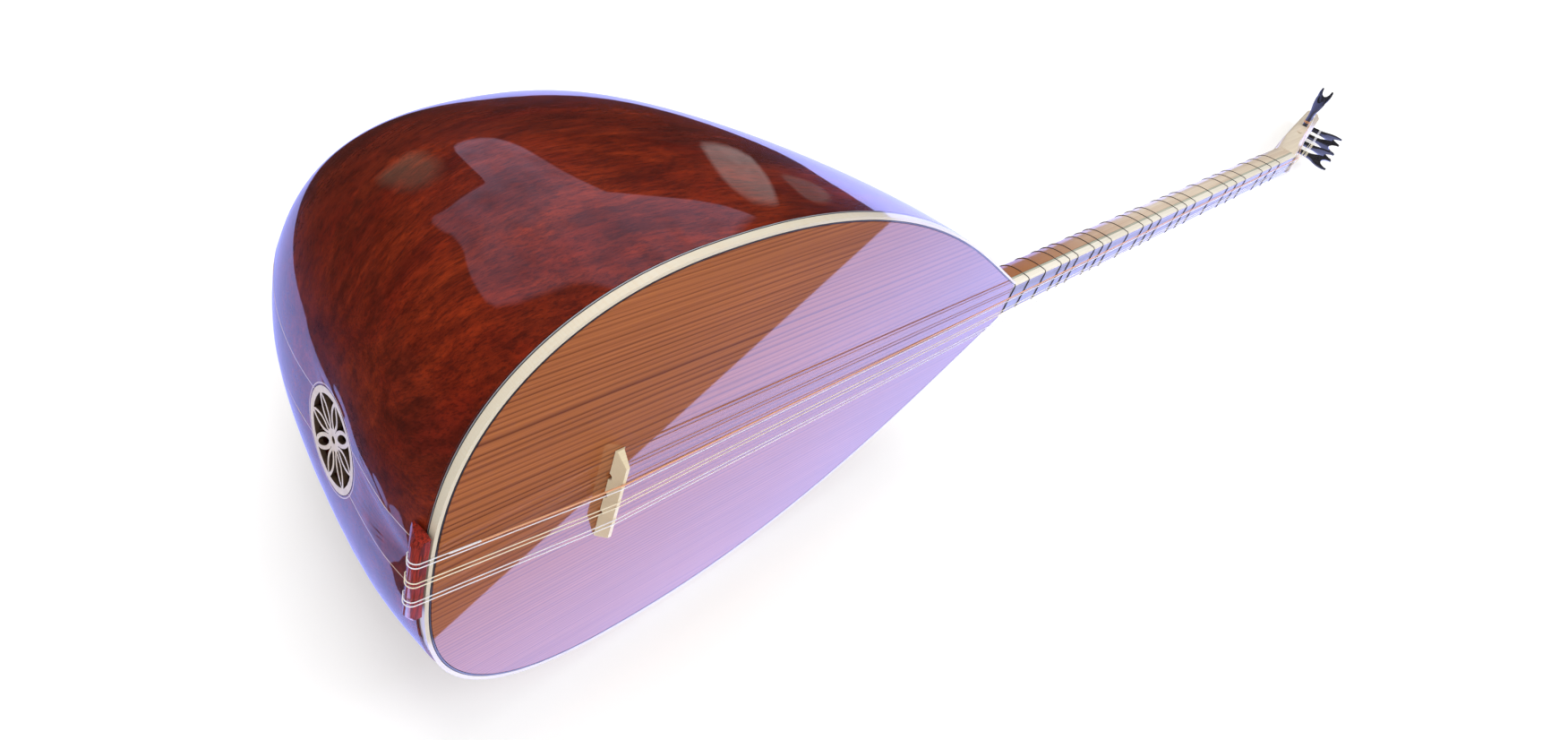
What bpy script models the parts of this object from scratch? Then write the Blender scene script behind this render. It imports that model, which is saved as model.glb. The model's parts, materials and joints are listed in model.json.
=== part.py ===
"""Divan saz: a long-necked lute with a deep bowl, tied frets and six strings in three courses.

Every piece is modelled in the frame of the instrument: X runs from the nut to the tail, +Y is the
treble side and +Z comes out of the soundboard, with the origin on the face of the nut. At the end
the whole saz is laid down on its treble flank, as it lies by itself, with the floor at Z = 0.
All sizes are in metres.
"""

import math

import bmesh
import bpy
from mathutils import Matrix, Vector

# Fit between pieces
GAP = 0.0003

# Neck, from the nut to the body
NECK_LENGTH = 0.6525
NUT_WIDTH = 0.0256
NECK_WIDTH = 0.031
NECK_DEPTH_NUT = 0.0285
NECK_DEPTH_BODY = 0.0295
NECK_ROUNDNESS = 2.4
FINGERBOARD_THICKNESS = 0.006
VENEER_THICKNESS = 0.0015

# Soundboard outline, from the neck joint to the tail
BODY_LENGTH = 0.4852
BODY_WIDTH = 0.297
TAIL_ROUND = 0.1557
SHOULDER_POWER = 1.1
TAIL_POWER = 2.6
BOARD_THICKNESS = 0.003

# Edge of the body
PURFLING_WIDTH = 0.0008
BINDING_WIDTH = 0.002
BINDING_HEIGHT = 0.006

# Bowl
WALL = 0.0055
BOWL_DEPTH = 0.306
BOWL_HEEL_DEPTH = 0.0305
BOWL_BACK_ROUND = 0.1922
BACK_RISE = 1.8
BACK_SWEEP = 2.1
BACK_TAIL_POWER = 3.0
SECTION_AT_NECK = 1.8
SECTION_AT_BACK = 2.0
TAIL_BULGE = 0.0078
TAIL_BULGE_DEPTH = 0.1
STAVE_WIDTH_TAIL = 0.032
STAVE_WIDTH_NECK = 0.014

# Inside the body
BLOCK_ROOM = 0.0015
NECK_BLOCK_LENGTH = 0.042
TAIL_BLOCK_WIDTH = 0.05
TAIL_BLOCK_LENGTH = 0.02
TAIL_BLOCK_DEPTH = 0.034
BRACE_WIDTH = 0.008
BRACE_HEIGHT = 0.012
UPPER_BRACE_FROM_JOINT = 0.14
LOWER_BRACE_FROM_BRIDGE = 0.035

# Rosette in the tail end of the bowl
ROSETTE_WIDTH = 0.061
ROSETTE_HEIGHT = 0.053
ROSETTE_FROM_BOARD = 0.0965
ROSETTE_THICKNESS = 0.0025
ROSETTE_FLAT = 0.0075
ROSETTE_FLAT_WIDTH = 0.046
ROSETTE_FLAT_HEIGHT = 0.048
ROSETTE_TURN = math.radians(41.0)
# The pattern's own sizes, as shares of the rosette's half width
PATTERN_RIM = 0.88
PATTERN_LEAVES = 3
PATTERN_STEP = math.radians(45.0)
PATTERN_LEAF_ROOT = 0.22
PATTERN_LEAF_WIDTH = 0.2
PATTERN_RIB = 0.07
PATTERN_EYE_OFFSET = 0.53
PATTERN_EYE_LENGTH = 0.3
PATTERN_EYE_HEIGHT = 0.1
PATTERN_EYE_RING = 1.3
PATTERN_HEART = 0.09

# Bridge
BRIDGE_FROM_TAIL = 0.0977
BRIDGE_LENGTH = 0.066
BRIDGE_HEIGHT = 0.0092
BRIDGE_BASE = 0.0062
BRIDGE_CREST = 0.0022
BRIDGE_END_SLOPE = 0.006
BRIDGE_ARCH_RADIUS = 0.0021

# String holder below the tail edge
HOLDER_WIDTH = 0.0566
HOLDER_THICKNESS = 0.0085
HOLDER_HEIGHT = 0.0135
HOLDER_FOOT = 0.0012
HOLDER_RISE = 0.0006
HOLDER_ROUND = 0.0035
ANCHOR_RADIUS = 0.0009
ANCHOR_DEPTH = 0.002
ANCHOR_REACH = 0.003

# Strings
STRING_RADIUS = 0.00025
WOUND_RADIUS = 0.00045
WOUND_START = 0.0125
COURSE_PITCH_NUT = 0.0088
COURSE_PITCH_BRIDGE = 0.014
PAIR_SPREAD_NUT = 0.0026
PAIR_SPREAD_BRIDGE = 0.0034
PAIR_SPREAD_TAIL = 0.003

# Nut and frets
NUT_THICKNESS = 0.004
NUT_HEIGHT = 0.0018
NUT_SEAT = 0.001
FRET_RADIUS = 0.00045
FRET_END_ROOM = 0.0015
FRET_RATIOS = (
    18 / 17, 12 / 11, 9 / 8, 81 / 68, 27 / 22, 81 / 64, 4 / 3, 24 / 17,
    16 / 11, 3 / 2, 27 / 17, 18 / 11, 27 / 16, 16 / 9, 32 / 17, 64 / 33,
    2 / 1, 36 / 17, 24 / 11, 9 / 4, 81 / 34, 81 / 32, 8 / 3,
)

# Head and pegs
HEAD_TILT = math.radians(11.0)
HEAD_WIDTH = 0.026
HEAD_DEPTH = 0.0265
HEAD_END_DEPTH = 0.019
HEAD_BASS_CHAMFER = 0.005
HEAD_TREBLE_CHAMFER = 0.001
PEG_FIRST = 0.0745
PEG_PITCH = 0.0393
PEG_LAST_TO_END = 0.022
FRONT_PEG_COUNT = 4
FRONT_PEG_OFFSET = 0.0027
PEG_RADIUS = 0.0034
PEG_TIP_RADIUS = 0.0029
PEG_TIP_IN = 0.0008
PEG_ROOM = 0.0001
PEG_SHAFT_FRONT = 0.0132
PEG_SHAFT_SIDE = 0.0182
PEG_HANDLE = 0.0265
PEG_HANDLE_WIDTH = 0.0168
PEG_HANDLE_THICKNESS = 0.0062
PEG_SCOOP_WIDTH = 0.0104
PEG_SCOOP_DEPTH = 0.0105
PEG_TURN_STEP = math.radians(33.0)

# String windings on the pegs
WINDING_TURNS = 3
WINDING_PITCH = 0.001
FRONT_WINDING_HEIGHT = 0.0082
SIDE_WINDING_OUT = 0.0046
POINTS_PER_TURN = 24

# Resting on the treble flank
LAY_ROLL = math.radians(79.5)

# Worked out from the sizes above
JOINT_X = NECK_LENGTH
TAIL_X = NECK_LENGTH + BODY_LENGTH
WIDEST_X = TAIL_X - TAIL_ROUND
DEEPEST_X = TAIL_X - BOWL_BACK_ROUND
BRIDGE_X = TAIL_X - BRIDGE_FROM_TAIL
STRING_LENGTH = BRIDGE_X
PURFLING_INNER = GAP
PURFLING_OUTER = PURFLING_INNER + PURFLING_WIDTH
BINDING_INNER = PURFLING_OUTER + GAP
RIM = BINDING_INNER + BINDING_WIDTH
LEDGE_Z = -BOARD_THICKNESS - GAP
REBATE_Z = -BINDING_HEIGHT - GAP
HEAD_LENGTH = PEG_FIRST + (FRONT_PEG_COUNT - 1) * PEG_PITCH + PEG_LAST_TO_END
NECK_TOP = -FINGERBOARD_THICKNESS - VENEER_THICKNESS - 2 * GAP
BOARD_TOP = GAP
CREST_Z = BOARD_TOP + BRIDGE_HEIGHT

# Faceting
ROUNDING = 1e-9
SHOULDER_STEPS = 13
TAIL_STEPS = 15
ARC_STEPS = 22
NECK_STEPS = 10
HOLDER_STEPS = 7


def material(name, colour, roughness, metallic=0.0):
    """A plain material of the piece's own colour."""
    made = bpy.data.materials.new(name)
    made.use_nodes = True
    shader = made.node_tree.nodes["Principled BSDF"]
    shader.inputs["Base Color"].default_value = (*colour, 1.0)
    shader.inputs["Roughness"].default_value = roughness
    shader.inputs["Metallic"].default_value = metallic
    made.diffuse_color = (*colour, 1.0)
    return made


def place(name, data, finish, parent, smooth=None):
    """Puts a mesh or curve in the scene as one named piece."""
    piece = bpy.data.objects.new(name, data)
    bpy.context.scene.collection.objects.link(piece)
    piece.parent = parent
    data.materials.append(finish)
    if smooth is not None:
        data.shade_smooth()
        data.set_sharp_from_angle(angle=math.radians(smooth))
    return piece


def finish_mesh(bm, name):
    """Closes a bmesh off as a mesh with its faces pointing outwards."""
    bmesh.ops.remove_doubles(bm, verts=bm.verts, dist=1e-7)
    bmesh.ops.recalc_face_normals(bm, faces=bm.faces)
    mesh = bpy.data.meshes.new(name)
    bm.to_mesh(mesh)
    bm.free()
    return mesh


def loft(rings, close_end=True):
    """A solid through rings of points that all have the same count."""
    bm = bmesh.new()
    loops = [[bm.verts.new(point) for point in ring] for ring in rings]
    count = len(loops[0])
    for near, far in zip(loops, loops[1:]):
        for i in range(count):
            j = (i + 1) % count
            bm.faces.new((near[i], near[j], far[j], far[i]))
    bm.faces.new(loops[0])
    if close_end:
        bm.faces.new(loops[-1])
    return bm


def box(low, high):
    """A box between two corners."""
    (x0, y0, z0), (x1, y1, z1) = low, high
    return loft([[(x, y0, z0), (x, y1, z0), (x, y1, z1), (x, y0, z1)] for x in (x0, x1)])


def tube(name, points, radius, finish, parent, cyclic=False, resolution=2, radii=None):
    """A round wire along points, as a curve with filled ends."""
    curve = bpy.data.curves.new(name, "CURVE")
    curve.dimensions = "3D"
    curve.bevel_depth = radius
    curve.bevel_resolution = resolution
    curve.use_fill_caps = True
    curve.resolution_u = 1
    spline = curve.splines.new("POLY")
    spline.points.add(len(points) - 1)
    for i, point in enumerate(points):
        spline.points[i].co = (*point, 1.0)
        spline.points[i].radius = 1.0 if radii is None else radii[i] / radius
    spline.use_cyclic_u = cyclic
    piece = bpy.data.objects.new(name, curve)
    bpy.context.scene.collection.objects.link(piece)
    piece.parent = parent
    curve.materials.append(finish)
    return piece


def cut(piece, tool, parent, operation="DIFFERENCE"):
    """Cuts a piece with a hidden guide solid."""
    tool.parent = parent
    tool.hide_render = True
    tool.display_type = "WIRE"
    modifier = piece.modifiers.new(tool.name, "BOOLEAN")
    modifier.operation = operation
    modifier.solver = "EXACT"
    modifier.object = tool


def guide(name, bm):
    """A solid that only cuts others."""
    mesh = finish_mesh(bm, name)
    tool = bpy.data.objects.new(name, mesh)
    bpy.context.scene.collection.objects.link(tool)
    return tool


def rod_between(bm, start, end, radius_start, radius_end, sides=16):
    """Adds a straight round rod to a bmesh."""
    start, end = Vector(start), Vector(end)
    axis = end - start
    turn = axis.to_track_quat("Z", "Y").to_matrix().to_4x4()
    matrix = Matrix.Translation((start + end) / 2) @ turn
    bmesh.ops.create_cone(bm, cap_ends=True, segments=sides, radius1=radius_start,
                          radius2=radius_end, depth=axis.length, matrix=matrix)


# The shape of the body

def round_end(share, power):
    """Height of a rounded end, from 1 where it starts to 0 at its tip."""
    if share > 1 - ROUNDING:
        return 0.0
    return (1 - share ** power) ** (1 / power)


def half_width_at(x, offset=0.0):
    """Half width of the body outline at station x, grown by an offset."""
    neck, wide = NECK_WIDTH / 2 + offset, BODY_WIDTH / 2 + offset
    if x <= WIDEST_X:
        share = min(1.0, (WIDEST_X - x) / (WIDEST_X - JOINT_X))
        return neck + (wide - neck) * (1 - share ** 2) ** SHOULDER_POWER
    return wide * round_end((x - WIDEST_X) / (TAIL_ROUND + offset), TAIL_POWER)


def depth_at(x, offset=0.0):
    """Depth of the bowl's back below the soundboard at station x."""
    heel, deep = BOWL_HEEL_DEPTH + offset, BOWL_DEPTH + offset
    if x <= DEEPEST_X:
        share = min(1.0, (DEEPEST_X - x) / (DEEPEST_X - JOINT_X))
        return heel + (deep - heel) * (1 - share ** BACK_RISE) ** BACK_SWEEP
    return deep * round_end((x - DEEPEST_X) / (TAIL_X + offset - DEEPEST_X), BACK_TAIL_POWER)


def section_power_at(x):
    """How square the bowl's cross-section is at station x."""
    share = min(1.0, max(0.0, (x - JOINT_X) / (DEEPEST_X - JOINT_X)))
    return SECTION_AT_NECK + (SECTION_AT_BACK - SECTION_AT_NECK) * share


def bulge_at(x, y, z):
    """How far the tail end swells out past the soundboard's edge, less the flat at the rosette."""
    reach = max(0.0, (x - DEEPEST_X) / (TAIL_X - DEEPEST_X))
    depth = max(0.0, -z / TAIL_BULGE_DEPTH)
    across = (y / ROSETTE_FLAT_WIDTH) ** 2 + ((z + ROSETTE_FROM_BOARD) / ROSETTE_FLAT_HEIGHT) ** 2
    swell = TAIL_BULGE * depth * math.exp(1 - depth)
    return (swell - ROSETTE_FLAT * math.exp(-across)) * reach ** 2


def stations(offset=0.0, start=0.0):
    """Stations along the body, close together where the tail turns."""
    first = JOINT_X + start
    xs = [first + (WIDEST_X - first) * i / SHOULDER_STEPS for i in range(SHOULDER_STEPS)]
    for i in range(TAIL_STEPS + 1):
        angle = math.pi / 2 * (1 - i / TAIL_STEPS) ** 1.15
        xs.append(WIDEST_X + (TAIL_ROUND + offset) * math.cos(angle) ** (2 / TAIL_POWER))
    return xs


def outline(offset, start=0.0):
    """One side of the body outline, from the neck joint to the tail."""
    return [(x, half_width_at(x, offset)) for x in stations(offset, start)]


def bowl_arc(x, offset, top):
    """Points of the bowl's cross-section at station x, from the treble rim to the bass rim."""
    wide = half_width_at(x, offset)
    deep = max(depth_at(x, offset), -top)
    power = section_power_at(x)
    points = []
    for i in range(ARC_STEPS + 1):
        angle = math.pi * i / ARC_STEPS
        across = math.copysign(abs(math.cos(angle)) ** (2 / power), math.cos(angle))
        down = abs(math.sin(angle)) ** (2 / power)
        z = top - (deep + top) * down
        points.append(Vector((x + bulge_at(x, wide * across, z), wide * across, z)))
    return points


def bowl_surface_x(y, z):
    """Where the outside of the bowl's tail end lies, seen along X."""
    low, high = DEEPEST_X, TAIL_X + RIM
    for _ in range(40):
        x = (low + high) / 2
        wide, deep, power = half_width_at(x, RIM), depth_at(x, RIM), section_power_at(x)
        down = max(0.0, REBATE_Z - z) / max(1e-9, deep + REBATE_Z)
        inside = (abs(y) / max(1e-9, wide)) ** power + down ** power < 1
        low, high = (x, high) if inside else (low, x)
    return low + bulge_at(low, y, z)


def bowl_rings():
    """C-shaped cross-sections of the wall, with a rebate for the binding along each rim."""
    rings = []
    outer_xs, inner_xs = stations(RIM, GAP), stations(RIM - WALL, GAP)
    step = RIM - BINDING_WIDTH - GAP
    for outer_x, inner_x, step_x in zip(outer_xs, inner_xs, stations(step, GAP)):
        outer = bowl_arc(outer_x, RIM, REBATE_Z)
        inner = bowl_arc(inner_x, RIM - WALL, LEDGE_Z)
        y = half_width_at(step_x, step)
        treble = [Vector((step_x, y, LEDGE_Z)), Vector((step_x, y, REBATE_Z))]
        bass = [Vector((step_x, -y, REBATE_Z)), Vector((step_x, -y, LEDGE_Z))]
        rings.append(treble + outer + bass + inner[::-1])
    return rings


def seam_plane(side, shift):
    """A point on a stave seam and the seam's normal, pointing away from the middle."""
    tail = Vector((TAIL_X, side * (STAVE_WIDTH_TAIL / 2 + shift), 0))
    neck = Vector((JOINT_X, side * (STAVE_WIDTH_NECK / 2 + shift), 0))
    along = (tail - neck).normalized()
    normal = Vector((0, 0, 1)).cross(along)
    if normal.y * side < 0:
        normal.negate()
    return tail, normal


def keep_side(bm, point, normal):
    """Keeps the part of a solid that lies against a plane's normal, and closes the cut."""
    result = bmesh.ops.bisect_plane(bm, geom=bm.verts[:] + bm.edges[:] + bm.faces[:],
                                    dist=1e-6, plane_co=point, plane_no=normal,
                                    clear_outer=True)
    edges = [item for item in result["geom_cut"] if isinstance(item, bmesh.types.BMEdge)]
    bmesh.ops.holes_fill(bm, edges=edges, sides=0)


def bowl(root, wood, wood_centre):
    """Two carved sides and a centre stave that the hole for the rosette parts in two."""
    hole = rosette_hole()
    for name, side in (("bowl_treble_side", 1), ("bowl_bass_side", -1)):
        bm = loft(bowl_rings(), close_end=False)
        bmesh.ops.remove_doubles(bm, verts=bm.verts, dist=1e-7)
        point, normal = seam_plane(side, GAP / 2)
        keep_side(bm, point, -normal)
        piece = place(name, finish_mesh(bm, name), wood, root, smooth=32)
        cut(piece, hole, root)
    middle = Vector((TAIL_X, 0, -ROSETTE_FROM_BOARD))
    towards_tail = Vector((1, 0, 1)).normalized()
    for name, keep in (("bowl_centre_stave", towards_tail), ("bowl_tail_stave", -towards_tail)):
        bm = loft(bowl_rings(), close_end=False)
        bmesh.ops.remove_doubles(bm, verts=bm.verts, dist=1e-7)
        for side in (1, -1):
            keep_side(bm, *seam_plane(side, -GAP / 2))
        keep_side(bm, middle, keep)
        piece = place(name, finish_mesh(bm, name), wood_centre, root, smooth=32)
        cut(piece, hole, root)


def cavity(inset):
    """The hollow of the body as a solid, drawn in from the wall by an inset."""
    rings = []
    for x in stations(RIM - WALL - inset, GAP + inset)[:-1]:
        rings.append(bowl_arc(x, RIM - WALL - inset, LEDGE_Z - GAP))
    return loft(rings)


def inner_blocks(root, wood):
    """Blocks that the neck and the string holder are fixed to, and the soundboard's braces."""
    top = LEDGE_Z - GAP
    low = -BOWL_DEPTH
    reach = NECK_WIDTH * 2
    block = box((JOINT_X - NECK_BLOCK_LENGTH, -reach, low),
                (JOINT_X + NECK_BLOCK_LENGTH, reach, top))
    neck_block = place("neck_block", finish_mesh(block, "neck_block"), wood, root)
    block = box((TAIL_X - TAIL_BLOCK_LENGTH, -TAIL_BLOCK_WIDTH / 2, -TAIL_BLOCK_DEPTH),
                (TAIL_X + RIM + TAIL_BULGE, TAIL_BLOCK_WIDTH / 2, top))
    tail_block = place("tail_block", finish_mesh(block, "tail_block"), wood, root)
    hollow = guide("body_hollow", cavity(BLOCK_ROOM))
    cut(neck_block, hollow, root, "INTERSECT")
    cut(tail_block, hollow, root, "INTERSECT")
    for name, x in (("upper_brace", JOINT_X + UPPER_BRACE_FROM_JOINT),
                    ("lower_brace", BRIDGE_X - LOWER_BRACE_FROM_BRIDGE)):
        near, far = x - BRACE_WIDTH / 2, x + BRACE_WIDTH / 2
        reach = min(half_width_at(near, RIM - WALL), half_width_at(far, RIM - WALL))
        reach -= 4 * GAP
        foot = reach - BRACE_HEIGHT
        level = -BOARD_THICKNESS - GAP
        profile = [(-reach, level), (reach, level), (reach, level - BRACE_HEIGHT / 3),
                   (foot, level - BRACE_HEIGHT), (-foot, level - BRACE_HEIGHT),
                   (-reach, level - BRACE_HEIGHT / 3)]
        bar = loft([[(end, y, z) for y, z in profile] for end in (near, far)])
        place(name, finish_mesh(bar, name), wood, root)


def soundboard(root, cedar):
    """The flat soundboard."""
    side = outline(0.0, GAP)
    rim = [(x, y) for x, y in side] + [(x, -y) for x, y in side[-2::-1]]
    board = loft([[(x, y, z) for x, y in rim] for z in (-BOARD_THICKNESS, 0.0)])
    place("soundboard", finish_mesh(board, "soundboard"), cedar, root)


def edge_strip(name, inner, outer, bottom, finish, root):
    """A strip that runs round the edge of the soundboard from one side of the neck to the other."""
    rings = []
    pairs = list(zip(outline(inner, GAP), outline(outer, GAP)))
    for side, path in ((1, pairs), (-1, pairs[-2::-1])):
        for (ix, iy), (ox, oy) in path:
            rings.append([(ix, side * iy, bottom), (ox, side * oy, bottom),
                          (ox, side * oy, 0.0), (ix, side * iy, 0.0)])
    place(name, finish_mesh(loft(rings), name), finish, root, smooth=40)


# The rosette

def leaf_half(radius):
    """Half width of a leaf at a distance from the middle of the pattern."""
    share = (radius - PATTERN_LEAF_ROOT) / (PATTERN_RIM - PATTERN_LEAF_ROOT)
    if share <= 0 or share >= 1:
        return 0.0
    return PATTERN_LEAF_WIDTH / 2 * math.sin(math.pi * share)


def polar(radius, angle):
    """A point of the pattern at an angle from the axis of its leaves."""
    return Vector((radius * math.cos(angle), radius * math.sin(angle)))


def leaf(angle, steps=6):
    """A pointed leaf that runs from near the middle to the rim."""
    tip = PATTERN_RIM - PATTERN_RIB / 2
    radii = [PATTERN_LEAF_ROOT + (tip - PATTERN_LEAF_ROOT) * i / steps
             for i in range(steps + 1)]
    right = [polar(r, angle + leaf_half(r) / r) for r in radii[:-1]]
    left = [polar(r, angle - leaf_half(r) / r) for r in radii[:0:-1]]
    return right + left


def eye_angle(radius):
    """Angle from the axis of the leaves at which the ring of an eye begins at a radius."""
    share = (radius - PATTERN_EYE_OFFSET) / (PATTERN_EYE_LENGTH * PATTERN_EYE_RING)
    if abs(share) >= 1:
        return math.pi / 2
    half = PATTERN_EYE_HEIGHT * PATTERN_EYE_RING * math.sqrt(1 - share ** 2)
    return math.pi / 2 - half / radius


def spandrel(angle_from, angle_to, beside_eye, steps=7):
    """The three-sided opening between two neighbours, with the rim as its long side."""
    near, far = [], []
    for i in range(steps * 4 + 1):
        radius = PATTERN_LEAF_ROOT + (PATTERN_RIM - PATTERN_LEAF_ROOT) * i / (steps * 4)
        low = angle_from + (leaf_half(radius) + PATTERN_RIB / 2) / radius
        if beside_eye:
            high = eye_angle(radius) - PATTERN_RIB / 3 / radius
        else:
            high = angle_to - (leaf_half(radius) + PATTERN_RIB / 2) / radius
        if (high - low) * radius > PATTERN_RIB / 3:
            near.append((radius, low))
            far.append((radius, high))
    picks = [round(i * (len(near) - 1) / steps) for i in range(steps + 1)]
    side = [polar(*near[i]) for i in picks]
    low, high = near[-1][1], far[-1][1]
    rim = [polar(PATTERN_RIM, low + (high - low) * i / 4) for i in (1, 2, 3)]
    return side + rim + [polar(*far[i]) for i in picks[::-1]]


def rosette_openings():
    """Two eyes, a heart in the middle, and leaves both ways with the spaces between them."""
    openings = [ellipse((0, side * PATTERN_EYE_OFFSET), PATTERN_EYE_HEIGHT,
                        PATTERN_EYE_LENGTH, 16) for side in (1, -1)]
    openings.append(ellipse((0, 0), PATTERN_HEART, PATTERN_HEART, 8))
    outer = PATTERN_STEP * (PATTERN_LEAVES - 1) / 2
    for i in range(PATTERN_LEAVES):
        openings.append(leaf(i * PATTERN_STEP - outer))
    for i in range(PATTERN_LEAVES - 1):
        start = i * PATTERN_STEP - outer
        openings.append(spandrel(start, start + PATTERN_STEP, False))
    beside = spandrel(outer, math.pi / 2, True)
    openings += [beside, [Vector((p.x, -p.y)) for p in beside]]
    return openings[:3] + openings[3:] + [[-p for p in shape] for shape in openings[3:]]


def ellipse(centre, half_x, half_y, count):
    """An ellipse as one closed outline."""
    return [Vector((centre[0] + half_x * math.cos(2 * math.pi * i / count),
                    centre[1] + half_y * math.sin(2 * math.pi * i / count)))
            for i in range(count)]


def on_rosette(point):
    """A point of the pattern, turned and stretched to the rosette's width and height."""
    turn = Matrix.Rotation(ROSETTE_TURN, 2)
    y, z = turn @ point
    return y * ROSETTE_WIDTH / 2, z * ROSETTE_HEIGHT / 2


def rosette(root, pale):
    """An openwork plate, bent to the bowl."""
    shape = bpy.data.curves.new("rosette_shape", "CURVE")
    shape.dimensions = "2D"
    shape.fill_mode = "BOTH"
    shape.extrude = ROSETTE_THICKNESS / 2
    for points in [ellipse((0, 0), 1, 1, 48)] + rosette_openings():
        spline = shape.splines.new("POLY")
        spline.points.add(len(points) - 1)
        for i, point in enumerate(points):
            spline.points[i].co = (*on_rosette(point), 0.0, 1.0)
        spline.use_cyclic_u = True
    flat = bpy.data.objects.new("rosette_shape", shape)
    bm = bmesh.new()
    bm.from_mesh(flat.to_mesh())
    flat.to_mesh_clear()
    bpy.data.objects.remove(flat)
    bmesh.ops.remove_doubles(bm, verts=bm.verts, dist=1e-6)
    for share in (-0.75, -0.5, -0.25, 0.0, 0.25, 0.5, 0.75):
        bmesh.ops.bisect_plane(bm, geom=bm.verts[:] + bm.edges[:] + bm.faces[:], dist=1e-6,
                               plane_co=(share * ROSETTE_WIDTH / 2, 0, 0), plane_no=(1, 0, 0))
    bmesh.ops.triangulate(bm, faces=bm.faces)
    for vert in bm.verts:
        y, z = vert.co.x, vert.co.y - ROSETTE_FROM_BOARD
        vert.co = (bowl_surface_x(y, z) + vert.co.z - ROSETTE_THICKNESS / 2, y, z)
    place("rosette", finish_mesh(bm, "rosette"), pale, root, smooth=40)


def rosette_hole():
    """The hole that the rosette sits in."""
    near, far = TAIL_X - 4 * WALL, TAIL_X + 4 * WALL
    rings = []
    for x in (near, far):
        rings.append([(x, (ROSETTE_WIDTH / 2 + GAP) * math.cos(2 * math.pi * i / 48),
                       -ROSETTE_FROM_BOARD
                       + (ROSETTE_HEIGHT / 2 + GAP) * math.sin(2 * math.pi * i / 48))
                      for i in range(48)])
    return guide("sound_hole_cutter", loft(rings))


# Bridge, holder and strings

def course_positions(course_pitch, pair_spread):
    """Where six strings in three pairs lie across the instrument, bass first."""
    return [(course - 1) * course_pitch + half * pair_spread / 2
            for course in range(3) for half in (-1, 1)]


def bridge(root, pale):
    """A loose bridge with arches under the courses and sloped ends."""
    pivot = bpy.data.objects.new("bridge_slide", None)
    bpy.context.scene.collection.objects.link(pivot)
    pivot.location = (BRIDGE_X, 0, BOARD_TOP)
    pivot.parent = root
    tail_side, neck_side = BRIDGE_BASE * 0.42, -BRIDGE_BASE * 0.58
    half, crest = BRIDGE_LENGTH / 2, BRIDGE_CREST / 2
    rings = []
    for y, top in ((-half, 0.12), (-half + BRIDGE_END_SLOPE, 1.0),
                   (half - BRIDGE_END_SLOPE, 1.0), (half, 0.12)):
        height = BRIDGE_HEIGHT * top
        narrow = crest * top + (1 - top) * BRIDGE_BASE * 0.38
        rings.append([(neck_side, y, 0), (tail_side, y, 0), (narrow, y, height),
                      (-narrow, y, height)])
    piece = place("bridge", finish_mesh(loft(rings), "bridge"), pale, pivot, smooth=20)
    arches = bmesh.new()
    for course in (-1, 0, 1):
        y = course * COURSE_PITCH_BRIDGE
        rod_between(arches, (-BRIDGE_BASE, y, 0), (BRIDGE_BASE, y, 0),
                    BRIDGE_ARCH_RADIUS, BRIDGE_ARCH_RADIUS, sides=12)
    cut(piece, guide("bridge_arch_cutter", arches), pivot)


def holder_edge():
    """Middle of the holder's rounded edge, the holder's foot, and the angle where its face leans in."""
    centre = Vector((bowl_surface_x(0, 0) + HOLDER_THICKNESS - HOLDER_ROUND, 0,
                     HOLDER_RISE - HOLDER_ROUND))
    low = HOLDER_RISE - HOLDER_HEIGHT
    foot = Vector((bowl_surface_x(0, low) + HOLDER_FOOT, 0, low))
    reach = foot - centre
    return centre, foot, math.atan2(reach.z, reach.x) + math.acos(HOLDER_ROUND / reach.length)


def round_edge(centre, radius, start, end, steps=HOLDER_STEPS):
    """Points along an arc in the upright middle plane."""
    angles = [start + (end - start) * i / steps for i in range(steps + 1)]
    return [centre + Vector((radius * math.cos(a), 0, radius * math.sin(a))) for a in angles]


def holder_profile(y):
    """Outline of the string holder at one place across it, with its back on the bowl."""
    top, low = HOLDER_RISE, HOLDER_RISE - HOLDER_HEIGHT
    centre, foot, lean = holder_edge()
    points = [(p.x, p.z) for p in round_edge(centre, HOLDER_ROUND, math.pi / 2, lean)]
    points.append((foot.x, foot.z))
    for z in (low, (low + REBATE_Z) / 2, REBATE_Z, top):
        points.append((bowl_surface_x(y, min(z, REBATE_Z)) + GAP, z))
    return points


def anchor_point(y):
    """A string's hole on the holder's leaning face, and the way out of it."""
    centre, _, lean = holder_edge()
    out = Vector((math.cos(lean), 0, math.sin(lean)))
    down = Vector((math.sin(lean), 0, -math.cos(lean)))
    return centre + HOLDER_ROUND * out + ANCHOR_REACH * down + Vector((0, y, 0)), out


def string_holder(root, wood):
    """The block that the strings are anchored in."""
    half = HOLDER_WIDTH / 2
    near_end = half - HOLDER_ROUND
    rings = []
    for y, draw in ((-half, 0.7), (-near_end, 1.0), (-near_end / 2, 1.0), (0, 1.0),
                    (near_end / 2, 1.0), (near_end, 1.0), (half, 0.7)):
        ring = holder_profile(y)
        front = HOLDER_STEPS + 2
        backs = [bowl_surface_x(y, min(z, REBATE_Z)) + GAP for _, z in ring[:front]]
        drawn = [(back + (x - back) * draw, z) for back, (x, z) in zip(backs, ring)]
        rings.append([(x, y, z) for x, z in drawn + ring[front:]])
    piece = place("string_holder", finish_mesh(loft(rings), "string_holder"), wood, root,
                  smooth=35)
    holes = bmesh.new()
    for y in course_positions(COURSE_PITCH_BRIDGE, PAIR_SPREAD_TAIL):
        mouth, out = anchor_point(y)
        rod_between(holes, mouth - ANCHOR_DEPTH * out, mouth + ANCHOR_DEPTH * out,
                    ANCHOR_RADIUS, ANCHOR_RADIUS, 10)
    cut(piece, guide("anchor_cutter", holes), root)


# Neck, fingerboard, nut and frets

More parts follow.
